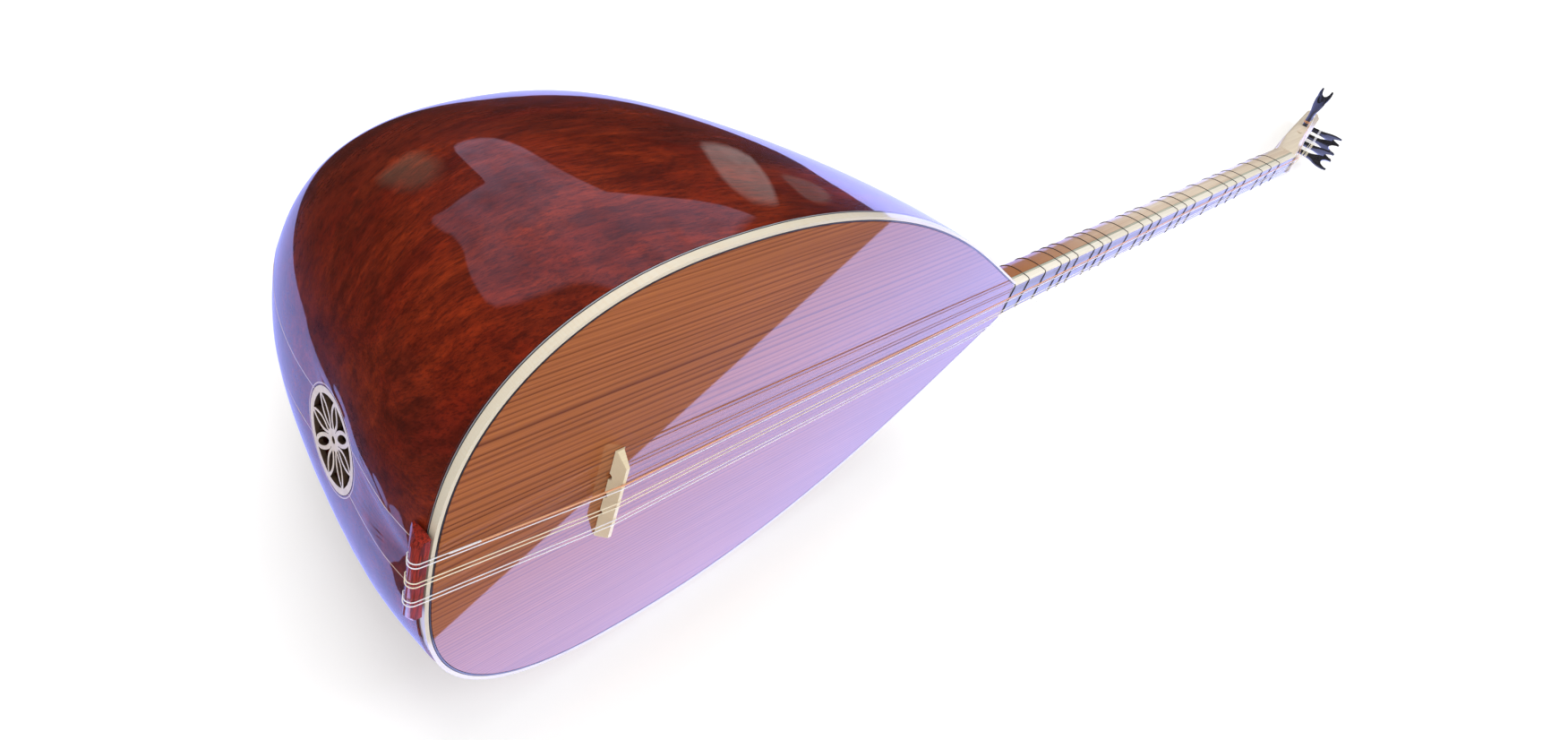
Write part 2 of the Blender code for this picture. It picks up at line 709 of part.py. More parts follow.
def neck_half_width(x):
    """Half width of the neck at station x."""
    return (NUT_WIDTH + (NECK_WIDTH - NUT_WIDTH) * x / NECK_LENGTH) / 2


def neck_depth(x):
    """Depth of the neck below the top of the fingerboard at station x."""
    return NECK_DEPTH_NUT + (NECK_DEPTH_BODY - NECK_DEPTH_NUT) * x / NECK_LENGTH


def neck_curve(x, grow=0.0):
    """The rounded back of the neck at station x, from the treble side to the bass side."""
    wide, deep = neck_half_width(x) + grow, neck_depth(x) + grow + NECK_TOP
    power = 2 / NECK_ROUNDNESS
    points = []
    for i in range(NECK_STEPS + 1):
        angle = math.pi * i / NECK_STEPS
        across = math.copysign(abs(math.cos(angle)) ** power, math.cos(angle))
        points.append((wide * across, NECK_TOP - deep * abs(math.sin(angle)) ** power))
    return points


def neck(root, wood, pale, line):
    """The neck with a veneer line and a fingerboard on it."""
    level = -FINGERBOARD_THICKNESS - GAP
    rings = [[(x, y, z) for y, z in neck_curve(x)] for x in (GAP, NECK_LENGTH / 2, NECK_LENGTH)]
    place("neck", finish_mesh(loft(rings), "neck"), wood, root, smooth=40)
    for name, top, bottom, finish in (("neck_veneer", level, level - VENEER_THICKNESS, line),
                                      ("fingerboard", 0.0, -FINGERBOARD_THICKNESS, pale)):
        rings = []
        for x in (GAP, NECK_LENGTH):
            half = neck_half_width(x)
            rings.append([(x, half, bottom), (x, half, top), (x, -half, top),
                          (x, -half, bottom)])
        place(name, finish_mesh(loft(rings), name), finish, root)


def nut(root, pale):
    """The nut, a bar across the start of the strings."""
    half = NUT_WIDTH / 2
    rings = []
    for y in (-half, half):
        rings.append([(-NUT_THICKNESS, y, GAP - NUT_SEAT), (-GAP, y, GAP - NUT_SEAT),
                      (-GAP, y, NUT_HEIGHT), (-NUT_THICKNESS * 0.6, y, NUT_HEIGHT),
                      (-NUT_THICKNESS, y, NUT_HEIGHT * 0.55)])
    place("nut", finish_mesh(loft(rings), "nut"), pale, root)


def fret_positions():
    """Distance of each fret from the nut, by its ratio of the string length."""
    last = STRING_LENGTH * (1 - 1 / FRET_RATIOS[-1])
    fit = min(1.0, (NECK_LENGTH - FRET_END_ROOM - FRET_RADIUS) / last)
    return [fit * STRING_LENGTH * (1 - 1 / ratio) for ratio in FRET_RATIOS]


def frets(root, gut):
    """Tied frets, each a loop of gut round the neck."""
    grow = FRET_RADIUS + GAP
    for i, x in enumerate(fret_positions()):
        half = neck_half_width(x)
        turn = grow * math.sqrt(0.5)
        curve = neck_curve(x, grow)
        points = [(half, grow), (half + turn, turn)] + curve + [(-half - turn, turn),
                                                                (-half, grow)]
        name = f"fret_{i + 1:02d}"
        tube(name, [(x, y, z) for y, z in points], FRET_RADIUS, gut, root, cyclic=True,
             resolution=1)


# Head and pegs

def head_point(along, across, out):
    """A point on the head: along from the nut, across to the treble side, out of its front."""
    return Vector((-along * math.cos(HEAD_TILT) - out * math.sin(HEAD_TILT), across,
                   -NUT_SEAT - along * math.sin(HEAD_TILT) + out * math.cos(HEAD_TILT)))


def head_depth(along):
    """Depth of the head at a distance from the nut."""
    return HEAD_DEPTH + (HEAD_END_DEPTH - HEAD_DEPTH) * along / HEAD_LENGTH


def head_section(half, deep, corner, bass, treble):
    """Outline across the head, with chamfered front edges and rounded back edges."""
    points = [(half, -treble), (half - treble, 0), (-half + bass, 0), (-half, -bass)]
    for side in (-1, 1):
        turn = []
        for i in range(5):
            angle = math.pi / 2 * i / 4
            turn.append((side * (half - corner * (1 - math.cos(angle))),
                         -deep + corner * (1 - math.sin(angle))))
        points += turn if side < 0 else turn[::-1]
    return points


def peg_places():
    """Each string's peg: kind, place along the head and the side that the string comes in at."""
    front = [PEG_FIRST + i * PEG_PITCH for i in range(FRONT_PEG_COUNT)]
    side = [PEG_FIRST + (i + 0.5) * PEG_PITCH for i in range(FRONT_PEG_COUNT - 1)]
    return [("side", side[1], 0), ("side", side[2], 0), ("front", front[1], -1),
            ("front", front[0], -1), ("front", front[2], 1), ("front", front[3], 1)], side[0]


def peg_frame(kind, along):
    """A frame whose Z runs out along the peg from the surface that it goes into."""
    if kind == "front":
        origin = head_point(along, FRONT_PEG_OFFSET, 0)
        out = head_point(along, FRONT_PEG_OFFSET, 1) - origin
    else:
        origin = head_point(along, -HEAD_WIDTH / 2, -head_depth(along) / 2)
        out = Vector((0, -1, 0))
    down = (head_point(1, 0, 0) - head_point(0, 0, 0)).normalized()
    turn = Matrix((down, out.cross(down), out)).transposed().to_4x4()
    return Matrix.Translation(origin) @ turn


def peg_travel(kind, along):
    """How far a peg's shaft runs into the head."""
    return (head_depth(along) if kind == "front" else HEAD_WIDTH) - PEG_TIP_IN


def head(root, wood):
    """The head with its peg holes, one of them empty."""
    half, length = HEAD_WIDTH / 2, HEAD_LENGTH
    start = NUT_WIDTH / 2
    first = head_section(start, NECK_DEPTH_NUT - NUT_SEAT, start * 0.95, NUT_SEAT, NUT_SEAT)
    rings = [[Vector((-GAP, y, out - NUT_SEAT)) for y, out in first]]
    for along, corner, chamfer in ((HEAD_DEPTH * 0.55, 0.8, 0.3), (HEAD_DEPTH * 1.2, 0.5, 0.6),
                                   (PEG_FIRST * 0.8, 0.3, 1.0), (length, 0.3, 1.0)):
        section = head_section(half, head_depth(along), half * corner,
                               HEAD_BASS_CHAMFER * chamfer, HEAD_TREBLE_CHAMFER)
        rings.append([head_point(along, y, out) for y, out in section])
    piece = place("head", finish_mesh(loft(rings), "head"), wood, root, smooth=35)
    holes = bmesh.new()
    places, empty = peg_places()
    fit = 1 / math.cos(math.pi / 24)
    for kind, along in [(kind, along) for kind, along, _ in places] + [("side", empty)]:
        frame = peg_frame(kind, along)
        low, high = -HEAD_WIDTH * 2, HEAD_DEPTH
        slope = (PEG_RADIUS - PEG_TIP_RADIUS) / peg_travel(kind, along)
        radii = [(PEG_RADIUS + slope * z + PEG_ROOM) * fit for z in (low, high)]
        rod_between(holes, frame @ Vector((0, 0, low)), frame @ Vector((0, 0, high)),
                    *radii, sides=24)
    cut(piece, guide("peg_hole_cutter", holes), root)


def peg_shaft(kind):
    """Length of a peg's round shaft outside the head."""
    return PEG_SHAFT_FRONT if kind == "front" else PEG_SHAFT_SIDE


def peg_mesh(name, kind, along):
    """One peg: a tapered shaft that spreads into a flat handle."""
    shaft = peg_shaft(kind)
    wide, thick = PEG_HANDLE_WIDTH / 2, PEG_HANDLE_THICKNESS / 2
    sections = [
        (-peg_travel(kind, along), PEG_TIP_RADIUS, PEG_TIP_RADIUS),
        (0.0, PEG_RADIUS, PEG_RADIUS),
        (shaft, PEG_RADIUS, PEG_RADIUS),
        (shaft + PEG_HANDLE * 0.2, wide * 0.6, thick * 1.15),
        (shaft + PEG_HANDLE * 0.45, wide * 0.9, thick),
        (shaft + PEG_HANDLE * 0.7, wide, thick * 0.85),
        (shaft + PEG_HANDLE * 0.88, wide * 0.97, thick * 0.68),
        (shaft + PEG_HANDLE, wide * 0.9, thick * 0.55),
    ]
    rings = []
    for z, a, b in sections:
        rings.append([(a * math.cos(math.pi * i / 6), b * math.sin(math.pi * i / 6), z)
                      for i in range(12)])
    return finish_mesh(loft(rings), name)


def pegs(root, black, wires):
    """Six pegs on their own axes, each with the end of its string wound on it."""
    places, _ = peg_places()
    gaps = []
    for i, (kind, along, side) in enumerate(places):
        number = i + 1
        pivot = bpy.data.objects.new(f"peg_{number}_axis", None)
        bpy.context.scene.collection.objects.link(pivot)
        pivot.parent = root
        pivot.matrix_local = peg_frame(kind, along)
        name = f"peg_{number}"
        peg = place(name, peg_mesh(name, kind, along), black, pivot, smooth=40)
        turn = PEG_TURN_STEP * (i % 3 - 1)
        peg.rotation_euler = (0, 0, math.radians(90) + turn)
        opening = ellipse((0, peg_shaft(kind) + PEG_HANDLE), PEG_SCOOP_WIDTH / 2,
                          PEG_SCOOP_DEPTH, 20)
        scoop = loft([[(x, y, z) for x, z in opening]
                      for y in (-PEG_HANDLE_WIDTH, PEG_HANDLE_WIDTH)])
        cut(peg, guide(f"peg_{number}_scoop_cutter", scoop), peg)
        points = winding_points(kind, side)
        tube(f"string_{number}_winding", points, STRING_RADIUS, wires[i], pivot, resolution=1)
        gaps.append(winding_gap(points))
    print("least gap between turns of a winding:", round(min(gaps), 6))


def winding_points(kind, side):
    """A helix round the peg's shaft that starts where the string comes in."""
    radius = PEG_RADIUS + GAP + STRING_RADIUS
    level = FRONT_WINDING_HEIGHT if kind == "front" else SIDE_WINDING_OUT
    start, way = (math.pi / 2, -1) if side < 0 else (-math.pi / 2, 1)
    points = []
    for i in range(WINDING_TURNS * POINTS_PER_TURN + 1):
        angle = start + way * 2 * math.pi * i / POINTS_PER_TURN
        points.append(Vector((radius * math.cos(angle), radius * math.sin(angle),
                              level + WINDING_PITCH * i / POINTS_PER_TURN)))
    return points


def winding_gap(points):
    """Least clear space between one turn of a winding and the next."""
    return min((point - other).length - 2 * STRING_RADIUS
               for i, point in enumerate(points)
               for other in points[i + POINTS_PER_TURN // 2:])


def string_points(number, y_nut, y_bridge, y_tail, radius):
    """One string's way from its hole in the holder over the bridge and the nut to its peg."""
    lift = radius + GAP
    mouth, out = anchor_point(y_tail)
    centre, _, lean = holder_edge()
    centre = centre + Vector((0, y_tail, 0))
    up = Vector((-math.sin(lean), 0, math.cos(lean)))
    points = [mouth - out * ANCHOR_DEPTH / 2, mouth + out * lift * 0.4,
              mouth + out * lift + up * lift * 0.6]
    points += round_edge(centre, HOLDER_ROUND + lift, lean, math.radians(86))
    points.append(Vector((BRIDGE_X, y_bridge, CREST_Z + lift)))
    points.append(Vector((-NUT_THICKNESS * 0.1, y_nut, NUT_HEIGHT + lift)))
    points.append(Vector((-NUT_THICKNESS * 0.6, y_nut, NUT_HEIGHT + lift)))
    kind, along, side = peg_places()[0][number - 1]
    frame = peg_frame(kind, along)
    points.append(frame @ (winding_points(kind, side)[0] - Vector((0, 0, WINDING_PITCH))))
    return points


def strings(root, wires):
    """Six strings in three pairs."""
    at_nut = course_positions(COURSE_PITCH_NUT, PAIR_SPREAD_NUT)
    at_bridge = course_positions(COURSE_PITCH_BRIDGE, PAIR_SPREAD_BRIDGE)
    at_tail = course_positions(COURSE_PITCH_BRIDGE, PAIR_SPREAD_TAIL)
    for i in range(6):
        points = string_points(i + 1, at_nut[i], at_bridge[i], at_tail[i], STRING_RADIUS)
        radii = None
        if i == 0:
            at = len(points) - 4
            tail, crest = points[at - 1], points[at]
            start = tail.lerp(crest, WOUND_START / (tail - crest).length)
            points[at:at] = [start, start.lerp(crest, 0.01)]
            radii = [STRING_RADIUS] * (at + 1) + [WOUND_RADIUS] * 3 + [STRING_RADIUS] * 2
            lift = Vector((0, 0, WOUND_RADIUS - STRING_RADIUS))
            for j in range(at + 1, at + 4):
                points[j] = points[j] + lift
        tube(f"string_{i + 1}", points, STRING_RADIUS, wires[i], root, radii=radii)


# The pose at rest

def lay_down(root):
    """Rolls the saz on to its treble flank, with the bowl and the head both on the floor."""
    bpy.context.view_layer.update()
    graph = bpy.context.evaluated_depsgraph_get()
    clouds = []
    for piece in bpy.context.scene.objects:
        if piece.type in {"MESH", "CURVE"} and not piece.hide_render:
            shown = piece.evaluated_get(graph)
            mesh = shown.to_mesh()
            clouds += [shown.matrix_world @ vert.co for vert in mesh.vertices]
            shown.to_mesh_clear()
    body = [p for p in clouds if p.x > JOINT_X]
    nose = [p for p in clouds if p.x < 0]

    def up_for(pitch):
        return Vector((math.sin(pitch), -math.sin(LAY_ROLL) * math.cos(pitch),
                       math.cos(LAY_ROLL) * math.cos(pitch)))

    low, high = math.radians(-15), math.radians(15)
    for _ in range(40):
        pitch = (low + high) / 2
        up = up_for(pitch)
        drop = min(p.dot(up) for p in body) - min(p.dot(up) for p in nose)
        low, high = (pitch, high) if drop < 0 else (low, pitch)
    up = up_for(pitch)
    along = Vector((-1, 0, 0))
    along = (along - along.dot(up) * up).normalized()
    turn = Matrix((along, up.cross(along), up))
    turned = [turn @ p for p in clouds]
    spans = [(min(p[i] for p in turned), max(p[i] for p in turned)) for i in range(3)]
    shift = Vector((-sum(spans[0]) / 2, -sum(spans[1]) / 2, -spans[2][0]))
    root.matrix_world = Matrix.Translation(shift) @ turn.to_4x4()
    print("pitch at rest:", round(math.degrees(pitch), 4))


def main():
    """Builds the whole saz."""
    for old in list(bpy.data.objects):
        bpy.data.objects.remove(old)
    root = bpy.data.objects.new("saz", None)
    bpy.context.scene.collection.objects.link(root)

    mahogany = material("mahogany", (0.13, 0.035, 0.018), 0.2)
    mahogany_light = material("mahogany_light", (0.2, 0.05, 0.025), 0.25)
    cedar = material("cedar", (0.3, 0.11, 0.05), 0.25)
    neck_wood = material("neck_wood", (0.38, 0.2, 0.1), 0.35)
    head_wood = material("head_wood", (0.2, 0.06, 0.03), 0.3)
    maple = material("maple", (0.75, 0.62, 0.45), 0.35)
    dark_line = material("dark_line", (0.02, 0.015, 0.012), 0.5)
    grey_line = material("grey_line", (0.2, 0.24, 0.2), 0.5)
    spruce = material("spruce", (0.62, 0.48, 0.3), 0.6)
    cream = material("cream", (0.8, 0.72, 0.6), 0.45)
    ebony = material("ebony", (0.015, 0.013, 0.012), 0.25)
    gut = material("gut", (0.02, 0.02, 0.02), 0.4)
    steel = material("steel_wire", (0.75, 0.75, 0.76), 0.25, 1.0)
    copper = material("copper_wire", (0.72, 0.36, 0.2), 0.3, 1.0)
    bronze = material("bronze_wire", (0.78, 0.62, 0.4), 0.3, 1.0)
    wires = (copper, steel, bronze, bronze, steel, steel)

    bowl(root, mahogany, mahogany_light)
    inner_blocks(root, spruce)
    soundboard(root, cedar)
    edge_strip("purfling", PURFLING_INNER, PURFLING_OUTER, -BOARD_THICKNESS, dark_line, root)
    edge_strip("binding", BINDING_INNER, RIM, -BINDING_HEIGHT, maple, root)
    rosette(root, cream)
    bridge(root, maple)
    string_holder(root, mahogany_light)
    neck(root, neck_wood, maple, grey_line)
    nut(root, cream)
    frets(root, gut)
    head(root, head_wood)
    pegs(root, ebony, wires)
    strings(root, wires)
    lay_down(root)


main()
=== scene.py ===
"""Dresses the divan saz: finer pieces, varnished woods, wires and a plain pale studio."""
import json
import math

import bmesh
import bpy
from bpy.props import FloatProperty, FloatVectorProperty, IntProperty, PointerProperty
from mathutils import Matrix, Vector
from mathutils.bvhtree import BVHTree


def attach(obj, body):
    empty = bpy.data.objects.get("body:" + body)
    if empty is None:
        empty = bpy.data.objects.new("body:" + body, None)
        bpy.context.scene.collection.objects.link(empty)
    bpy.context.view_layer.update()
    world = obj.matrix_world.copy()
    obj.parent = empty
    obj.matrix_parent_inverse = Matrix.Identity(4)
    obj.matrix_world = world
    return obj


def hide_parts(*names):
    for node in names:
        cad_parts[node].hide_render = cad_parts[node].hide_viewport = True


bl_info = {
    "name": "Divan saz",
    "version": (1, 0, 0),
    "blender": (4, 5, 0),
    "location": "3D View > Sidebar > Saz",
    "description": "Finer pieces, varnished woods and a pale studio for a divan saz",
    "category": "Object",
}

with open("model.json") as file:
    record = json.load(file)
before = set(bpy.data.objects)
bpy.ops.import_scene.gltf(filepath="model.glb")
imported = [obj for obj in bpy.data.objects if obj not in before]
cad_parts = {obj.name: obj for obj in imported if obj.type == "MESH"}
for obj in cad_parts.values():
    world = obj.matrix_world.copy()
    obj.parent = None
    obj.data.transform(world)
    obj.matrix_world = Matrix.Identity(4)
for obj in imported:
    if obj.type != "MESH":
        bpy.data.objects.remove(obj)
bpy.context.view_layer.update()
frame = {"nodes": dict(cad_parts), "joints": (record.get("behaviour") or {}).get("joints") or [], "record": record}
RECORD = frame["record"]

# The saz's own frame: X from the nut to the tail, Y to the treble side, Z out of the soundboard.
HEAD_TILT = math.radians(11.0)
HEAD_WIDTH = 0.026
HEAD_LENGTH = 0.2144
HEAD_DEPTH, HEAD_END_DEPTH = 0.0265, 0.019
FIRST_SIDE_PEG = 0.13345
NUT_SEAT = 0.001
JOINT_X, WIDEST_X, DEEPEST_X, TAIL_X = 0.6525, 0.982, 0.9455, 1.1377
BRIDGE_X = 1.04
CREST_Z = 0.0095
WRAP_END_X = 1.118
DARK_EDGE_Z, GREY_EDGE_Z = -0.0048, -0.0054
STAVE_HALF_NECK, STAVE_HALF_TAIL, SEAM_HIGHLIGHT_WIDTH = 0.007, 0.016, 0.00034
ROSETTE_Z, ROSETTE_HALF_WIDTH, ROSETTE_HALF_HEIGHT = -0.0965, 0.0305, 0.0265
RING_HALF_WIDTH, RING_HALF_HEIGHT = 0.0319, 0.0279
REBATE_Z = -0.0063


def joint(name):
    """The named joint of the record."""
    return next(j for j in frame["joints"] if j["name"] == name)


def head_point(along, across, out):
    """A point of the tilted head: along from the nut, across to the treble, out of its front."""
    tilt_cos, tilt_sin = math.cos(HEAD_TILT), math.sin(HEAD_TILT)
    return Vector((-along * tilt_cos - out * tilt_sin, across,
                   -NUT_SEAT - along * tilt_sin + out * tilt_cos))


def saz_place():
    """The matrix from the saz's own frame to the frame of the CAD."""
    x = Vector(joint("bridge_slide")["axis"]).normalized()
    y = -Vector(joint("peg_1_turn")["axis"]).normalized()
    y = (y - x * x.dot(y)).normalized()
    turn = Matrix((x, y, x.cross(y))).transposed()
    depth = HEAD_DEPTH + (HEAD_END_DEPTH - HEAD_DEPTH) * FIRST_SIDE_PEG / HEAD_LENGTH
    hole = head_point(FIRST_SIDE_PEG, -HEAD_WIDTH / 2, -depth / 2)
    shift = Vector(joint("peg_1_turn")["pos_m"]) - turn @ hole
    return Matrix.Translation(shift) @ turn.to_4x4()


PLACE = saz_place()
UNPLACE = PLACE.inverted()


# ---------------------------------------------------------------- properties
def length(name, text, value, low=0.0):
    """A property that holds a length."""
    return FloatProperty(name=name, description=text, default=value, min=low, unit="LENGTH",
                         precision=5)


def colour(name, text, value):
    """A property that holds a colour."""
    return FloatVectorProperty(name=name, description=text, default=value, size=3, min=0.0,
                               max=1.0, subtype="COLOR")


def share(name, text, value, high=1.0):
    """A property that holds a plain factor."""
    return FloatProperty(name=name, description=text, default=value, min=0.0, max=high,
                         subtype="FACTOR")


class SazWoods(bpy.types.PropertyGroup):
    """Colours and figure of the woods and wires."""
    bowl_red: colour("Bowl", "Red-brown of the mahogany bowl", (0.165, 0.0115, 0.0024))
    bowl_orange: colour("Bowl patches", "Orange-brown patches of the bowl", (0.37, 0.043, 0.0045))
    bowl_dark: colour("Bowl shade", "Darkest streaks of the bowl", (0.027, 0.0034, 0.0018))
    # Pale colour of the painted highlight along the stave seams, also used for the ring round the rosette.
    seam_highlight_and_ring: colour("Seam highlight and ring", "Painted highlight along the stave seams and the pale ring round the rosette", (0.60, 0.45, 0.37))
    board: colour("Soundboard", "Cedar between the grain lines", (0.41, 0.134, 0.040))
    board_line: colour("Grain line", "Dark lines of the cedar", (0.095, 0.021, 0.009))
    neck: colour("Neck", "Pale wood of the neck and head", (0.83, 0.73, 0.58))
    neck_heel: colour("Neck heel", "Redder wood next to the bowl", (0.34, 0.130, 0.045))
    # Dark copy of the fingerboard's pale wood for its front face: painted shade.
    shaded_playing_face: colour("Shaded playing face", "Front of the fingerboard", (0.16, 0.13, 0.11))
    maple: colour("Binding", "Ivory coloured wood of the binding", (0.68, 0.62, 0.50))
    cream: colour("Rosette", "Pinkish white of the rosette", (0.80, 0.69, 0.60))
    holder: colour("Holder", "Deep red of the string holder", (0.30, 0.021, 0.010))
    ebony: colour("Pegs", "Black wood of the pegs", (0.012, 0.012, 0.015))
    grain_pitch: length("Grain pitch", "Widest distance between the lines of the soundboard", 0.0046)
    varnish: share("Varnish", "Strength of the clear coat on bowl and soundboard", 1.0)


class SazDetails(bpy.types.PropertyGroup):
    """Small forms that the solids leave out."""
    edge: length("Edge", "Width of the small bevel on worked edges", 0.0003)
    seam_fit: length("Seam fit", "How far each edge of a stave is moved to meet its neighbour", 0.0003)
    rib_growth: length("Rib growth", "How far each side of a rosette rib stands out", 0.00038)
    wire_growth: length("Wire growth", "How much thicker each wire is made all round", 0.00004)
    board_edge: length("Fingerboard edge", "Rounding along both front edges of the fingerboard", 0.0022)
    fret_radius: length("Fret radius", "Half the thickness of the fret line", 0.00034)
    wrap_pitch: length("Wrap pitch", "Pitch of the wound strings' outer wire", 0.00032)
    crowding: FloatProperty(name="Crowding", description="How much closer the grain lies at the "
                            "edges of the soundboard", default=0.42, min=0.0, max=2.0)
    rounding: IntProperty(name="Rounding", description="Segments of each small bevel", default=2,
                          min=1, max=5)


class SazStudio(bpy.types.PropertyGroup):
    """Floor, lamps and camera."""
    key_power: FloatProperty(name="Key lamp", description="Power of the large soft key lamp",
                             default=36.0, min=0.0, unit="POWER")
    fill_power: FloatProperty(name="Fill lamp", description="Power of the soft fill lamp",
                              default=20.0, min=0.0, unit="POWER")
    top_power: FloatProperty(name="Top lamp", description="Power of the soft lamp overhead",
                             default=40.0, min=0.0, unit="POWER")
    sky_light: share("Sky", "Level of the even light from all round", 0.62, 3.0)
    floor_colour: colour("Floor", "Colour of the plain floor", (0.93, 0.93, 0.93))
    sheen_colour: colour("Sheen", "Colour that glossy surfaces mirror from the floor nearby",
                         (0.38, 0.43, 1.0))
    board_sheen: colour("Board sheen", "Colour that the soundboard mirrors from the floor nearby",
                        (0.44, 0.49, 1.0))
    lens: FloatProperty(name="Lens", description="Focal length of the camera in millimetres",
                        default=23.243, min=1.0, unit="CAMERA")


# ---------------------------------------------------------------- node recipes
class Recipe:
    """Adds nodes to one node tree in few words."""

    def __init__(self, tree):
        self.tree = tree

    def node(self, kind, inputs=None, **settings):
        made = self.tree.nodes.new("ShaderNode" + kind)
        for key, value in settings.items():
            setattr(made, key, value)
        for key, value in (inputs or {}).items():
            self.feed(made.inputs[key], value)
        return made

    def feed(self, socket, value):
        if isinstance(value, bpy.types.NodeSocket):
            self.tree.links.new(value, socket)
        elif socket.type == "RGBA" and len(value) == 3:
            socket.default_value = (*value, 1.0)
        else:
            socket.default_value = value

    def math(self, operation, *values, clamp=False):
        made = self.node("Math", operation=operation, use_clamp=clamp)
        for socket, value in zip(made.inputs, values):
            self.feed(socket, value)
        return made.outputs[0]

    def stretched(self, vector, scale):
        made = self.node("VectorMath", {0: vector, 1: scale}, operation="MULTIPLY")
        return made.outputs[0]

    def noise(self, vector, scale, detail=3.0, rough=0.55):
        """Noise between 0 and 1 on the vector times scale, one number or three."""
        three = scale if isinstance(scale, tuple) else (scale, scale, scale)
        made = self.node("TexNoise", {"Vector": self.stretched(vector, three), "Scale": 1.0,
                                      "Detail": detail, "Roughness": rough})
        return made.outputs["Fac"]

    def ramp(self, value, *stops):
        """A mask from stops of (place, level)."""
        made = self.node("ValToRGB", {"Fac": value})
        band = made.color_ramp
        while len(band.elements) < len(stops):
            band.elements.new(0.5)
        for element, (place, level) in zip(band.elements, stops):
            element.position = place
            element.color = (level, level, level, 1.0)
        return made.outputs["Color"]

    def mix(self, mask, first, second, blend="MIX"):
        made = self.node("Mix", data_type="RGBA", blend_type=blend)
        for socket, value in zip((made.inputs[0], made.inputs[6], made.inputs[7]),
                                 (mask, first, second)):
            self.feed(socket, value)
        return made.outputs[2]

    def bump(self, height, distance, strength=1.0, normal=None):
        made = self.node("Bump", {"Height": height, "Distance": distance, "Strength": strength})
        if normal is not None:
            self.feed(made.inputs["Normal"], normal)
        return made.outputs["Normal"]


def effect(name, inputs, outputs):
    """A new shader node group with its recipe, its input sockets and its output sockets."""
    tree = bpy.data.node_groups.new(name, "ShaderNodeTree")
    for socket, (kind, value) in inputs.items():
        made = tree.interface.new_socket(socket, in_out="INPUT", socket_type="NodeSocket" + kind)
        if value is not None:
            made.default_value = value
    for socket in outputs:
        tree.interface.new_socket(socket, in_out="OUTPUT", socket_type="NodeSocketFloat")
    return (Recipe(tree), tree.nodes.new("NodeGroupInput").outputs,
            tree.nodes.new("NodeGroupOutput").inputs)


def grain_effect():
    """Straight growth lines along X, closer towards the edges, with fibres between them."""
    r, given, out = effect("Saz grain", {
        "Vector": ("Vector", None), "Pitch": ("Float", 0.0045), "Centre": ("Float", -0.03),
        "Crowding": ("Float", 0.4), "Wander": ("Float", 0.004)}, ("Lines", "Fibre", "Cloud"))
    vector = given["Vector"]
    axes = r.node("SeparateXYZ", {0: vector}).outputs
    sway = r.math("SUBTRACT", r.noise(vector, (2.6, 9.0, 9.0), 2.0), 0.5)
    shiver = r.math("SUBTRACT", r.noise(vector, (30.0, 120.0, 120.0), 2.0), 0.5)
    moved = r.math("MULTIPLY_ADD", sway, given["Wander"], axes["Y"])
    moved = r.math("MULTIPLY_ADD", shiver, 0.0006, moved)
    uneven = r.math("SUBTRACT", r.noise(vector, (0.4, 45.0, 0.0), 2.0), 0.5)
    moved = r.math("MULTIPLY_ADD", uneven, 0.012, moved)
    off = r.math("SUBTRACT", moved, given["Centre"])
    off_share = r.math("DIVIDE", off, 0.09)
    cube = r.math("MULTIPLY", r.math("POWER", r.math("ABSOLUTE", off_share), 3.0),
                  r.math("SIGN", off_share))
    crowd = r.math("MULTIPLY", r.math("MULTIPLY", cube, 0.03), given["Crowding"])
    phase = r.math("DIVIDE", r.math("ADD", off, crowd), given["Pitch"])
    tooth = r.math("FRACT", phase)
    line = r.ramp(tooth, (0.0, 0.5), (0.10, 0.0), (0.55, 0.10), (0.80, 0.75), (0.92, 1.0),
                  (1.0, 0.5))
    each = r.node("TexWhiteNoise", {"W": r.math("FLOOR", phase)}, noise_dimensions="1D")
    weight = r.math("MULTIPLY_ADD", each.outputs["Value"], 0.5, 0.5)
    r.feed(out["Lines"], r.math("MULTIPLY", line, weight))
    r.feed(out["Fibre"], r.ramp(r.noise(vector, (7.0, 900.0, 900.0), 4.0, 0.7),
                                (0.36, 0.0), (0.66, 1.0)))
    r.feed(out["Cloud"], r.noise(vector, (5.0, 22.0, 22.0), 3.0))
    return r.tree


def figure_effect():
    """Broad patches, long streaks and short open pores of a reddish hardwood."""
    r, given, out = effect("Saz figure", {
        "Vector": ("Vector", None), "Patch Size": ("Float", 1.0)},
        ("Patches", "Streaks", "Pores", "Shade"))
    vector = given["Vector"]
    bend = r.node("TexNoise", {"Vector": vector, "Scale": 9.0, "Detail": 2.0})
    push = r.node("VectorMath", {0: bend.outputs["Color"], 1: (0.5, 0.5, 0.5)},
                  operation="SUBTRACT")
    push = r.node("VectorMath", {0: push.outputs[0], 1: (0.05, 0.02, 0.02), 2: vector},
                  operation="MULTIPLY_ADD")
    bent = push.outputs[0]
    sized = r.node("VectorMath", {0: bent, "Scale": given["Patch Size"]}, operation="SCALE")
    patches = r.noise(sized.outputs[0], (8.0, 20.0, 20.0), 7.0, 0.66)
    shade = r.noise(sized.outputs[0], (22.0, 62.0, 62.0), 8.0, 0.70)
    r.feed(out["Patches"], r.ramp(patches, (0.40, 0.0), (0.65, 1.0)))
    r.feed(out["Shade"], r.ramp(shade, (0.39, 0.0), (0.64, 1.0)))
    streaks = r.noise(bent, (28.0, 210.0, 210.0), 5.0, 0.72)
    r.feed(out["Streaks"], r.ramp(streaks, (0.42, 0.0), (0.58, 1.0)))
    pores = r.noise(bent, (110.0, 720.0, 720.0), 3.0, 0.7)
    r.feed(out["Pores"], r.ramp(pores, (0.47, 0.0), (0.62, 1.0)))
    return r.tree


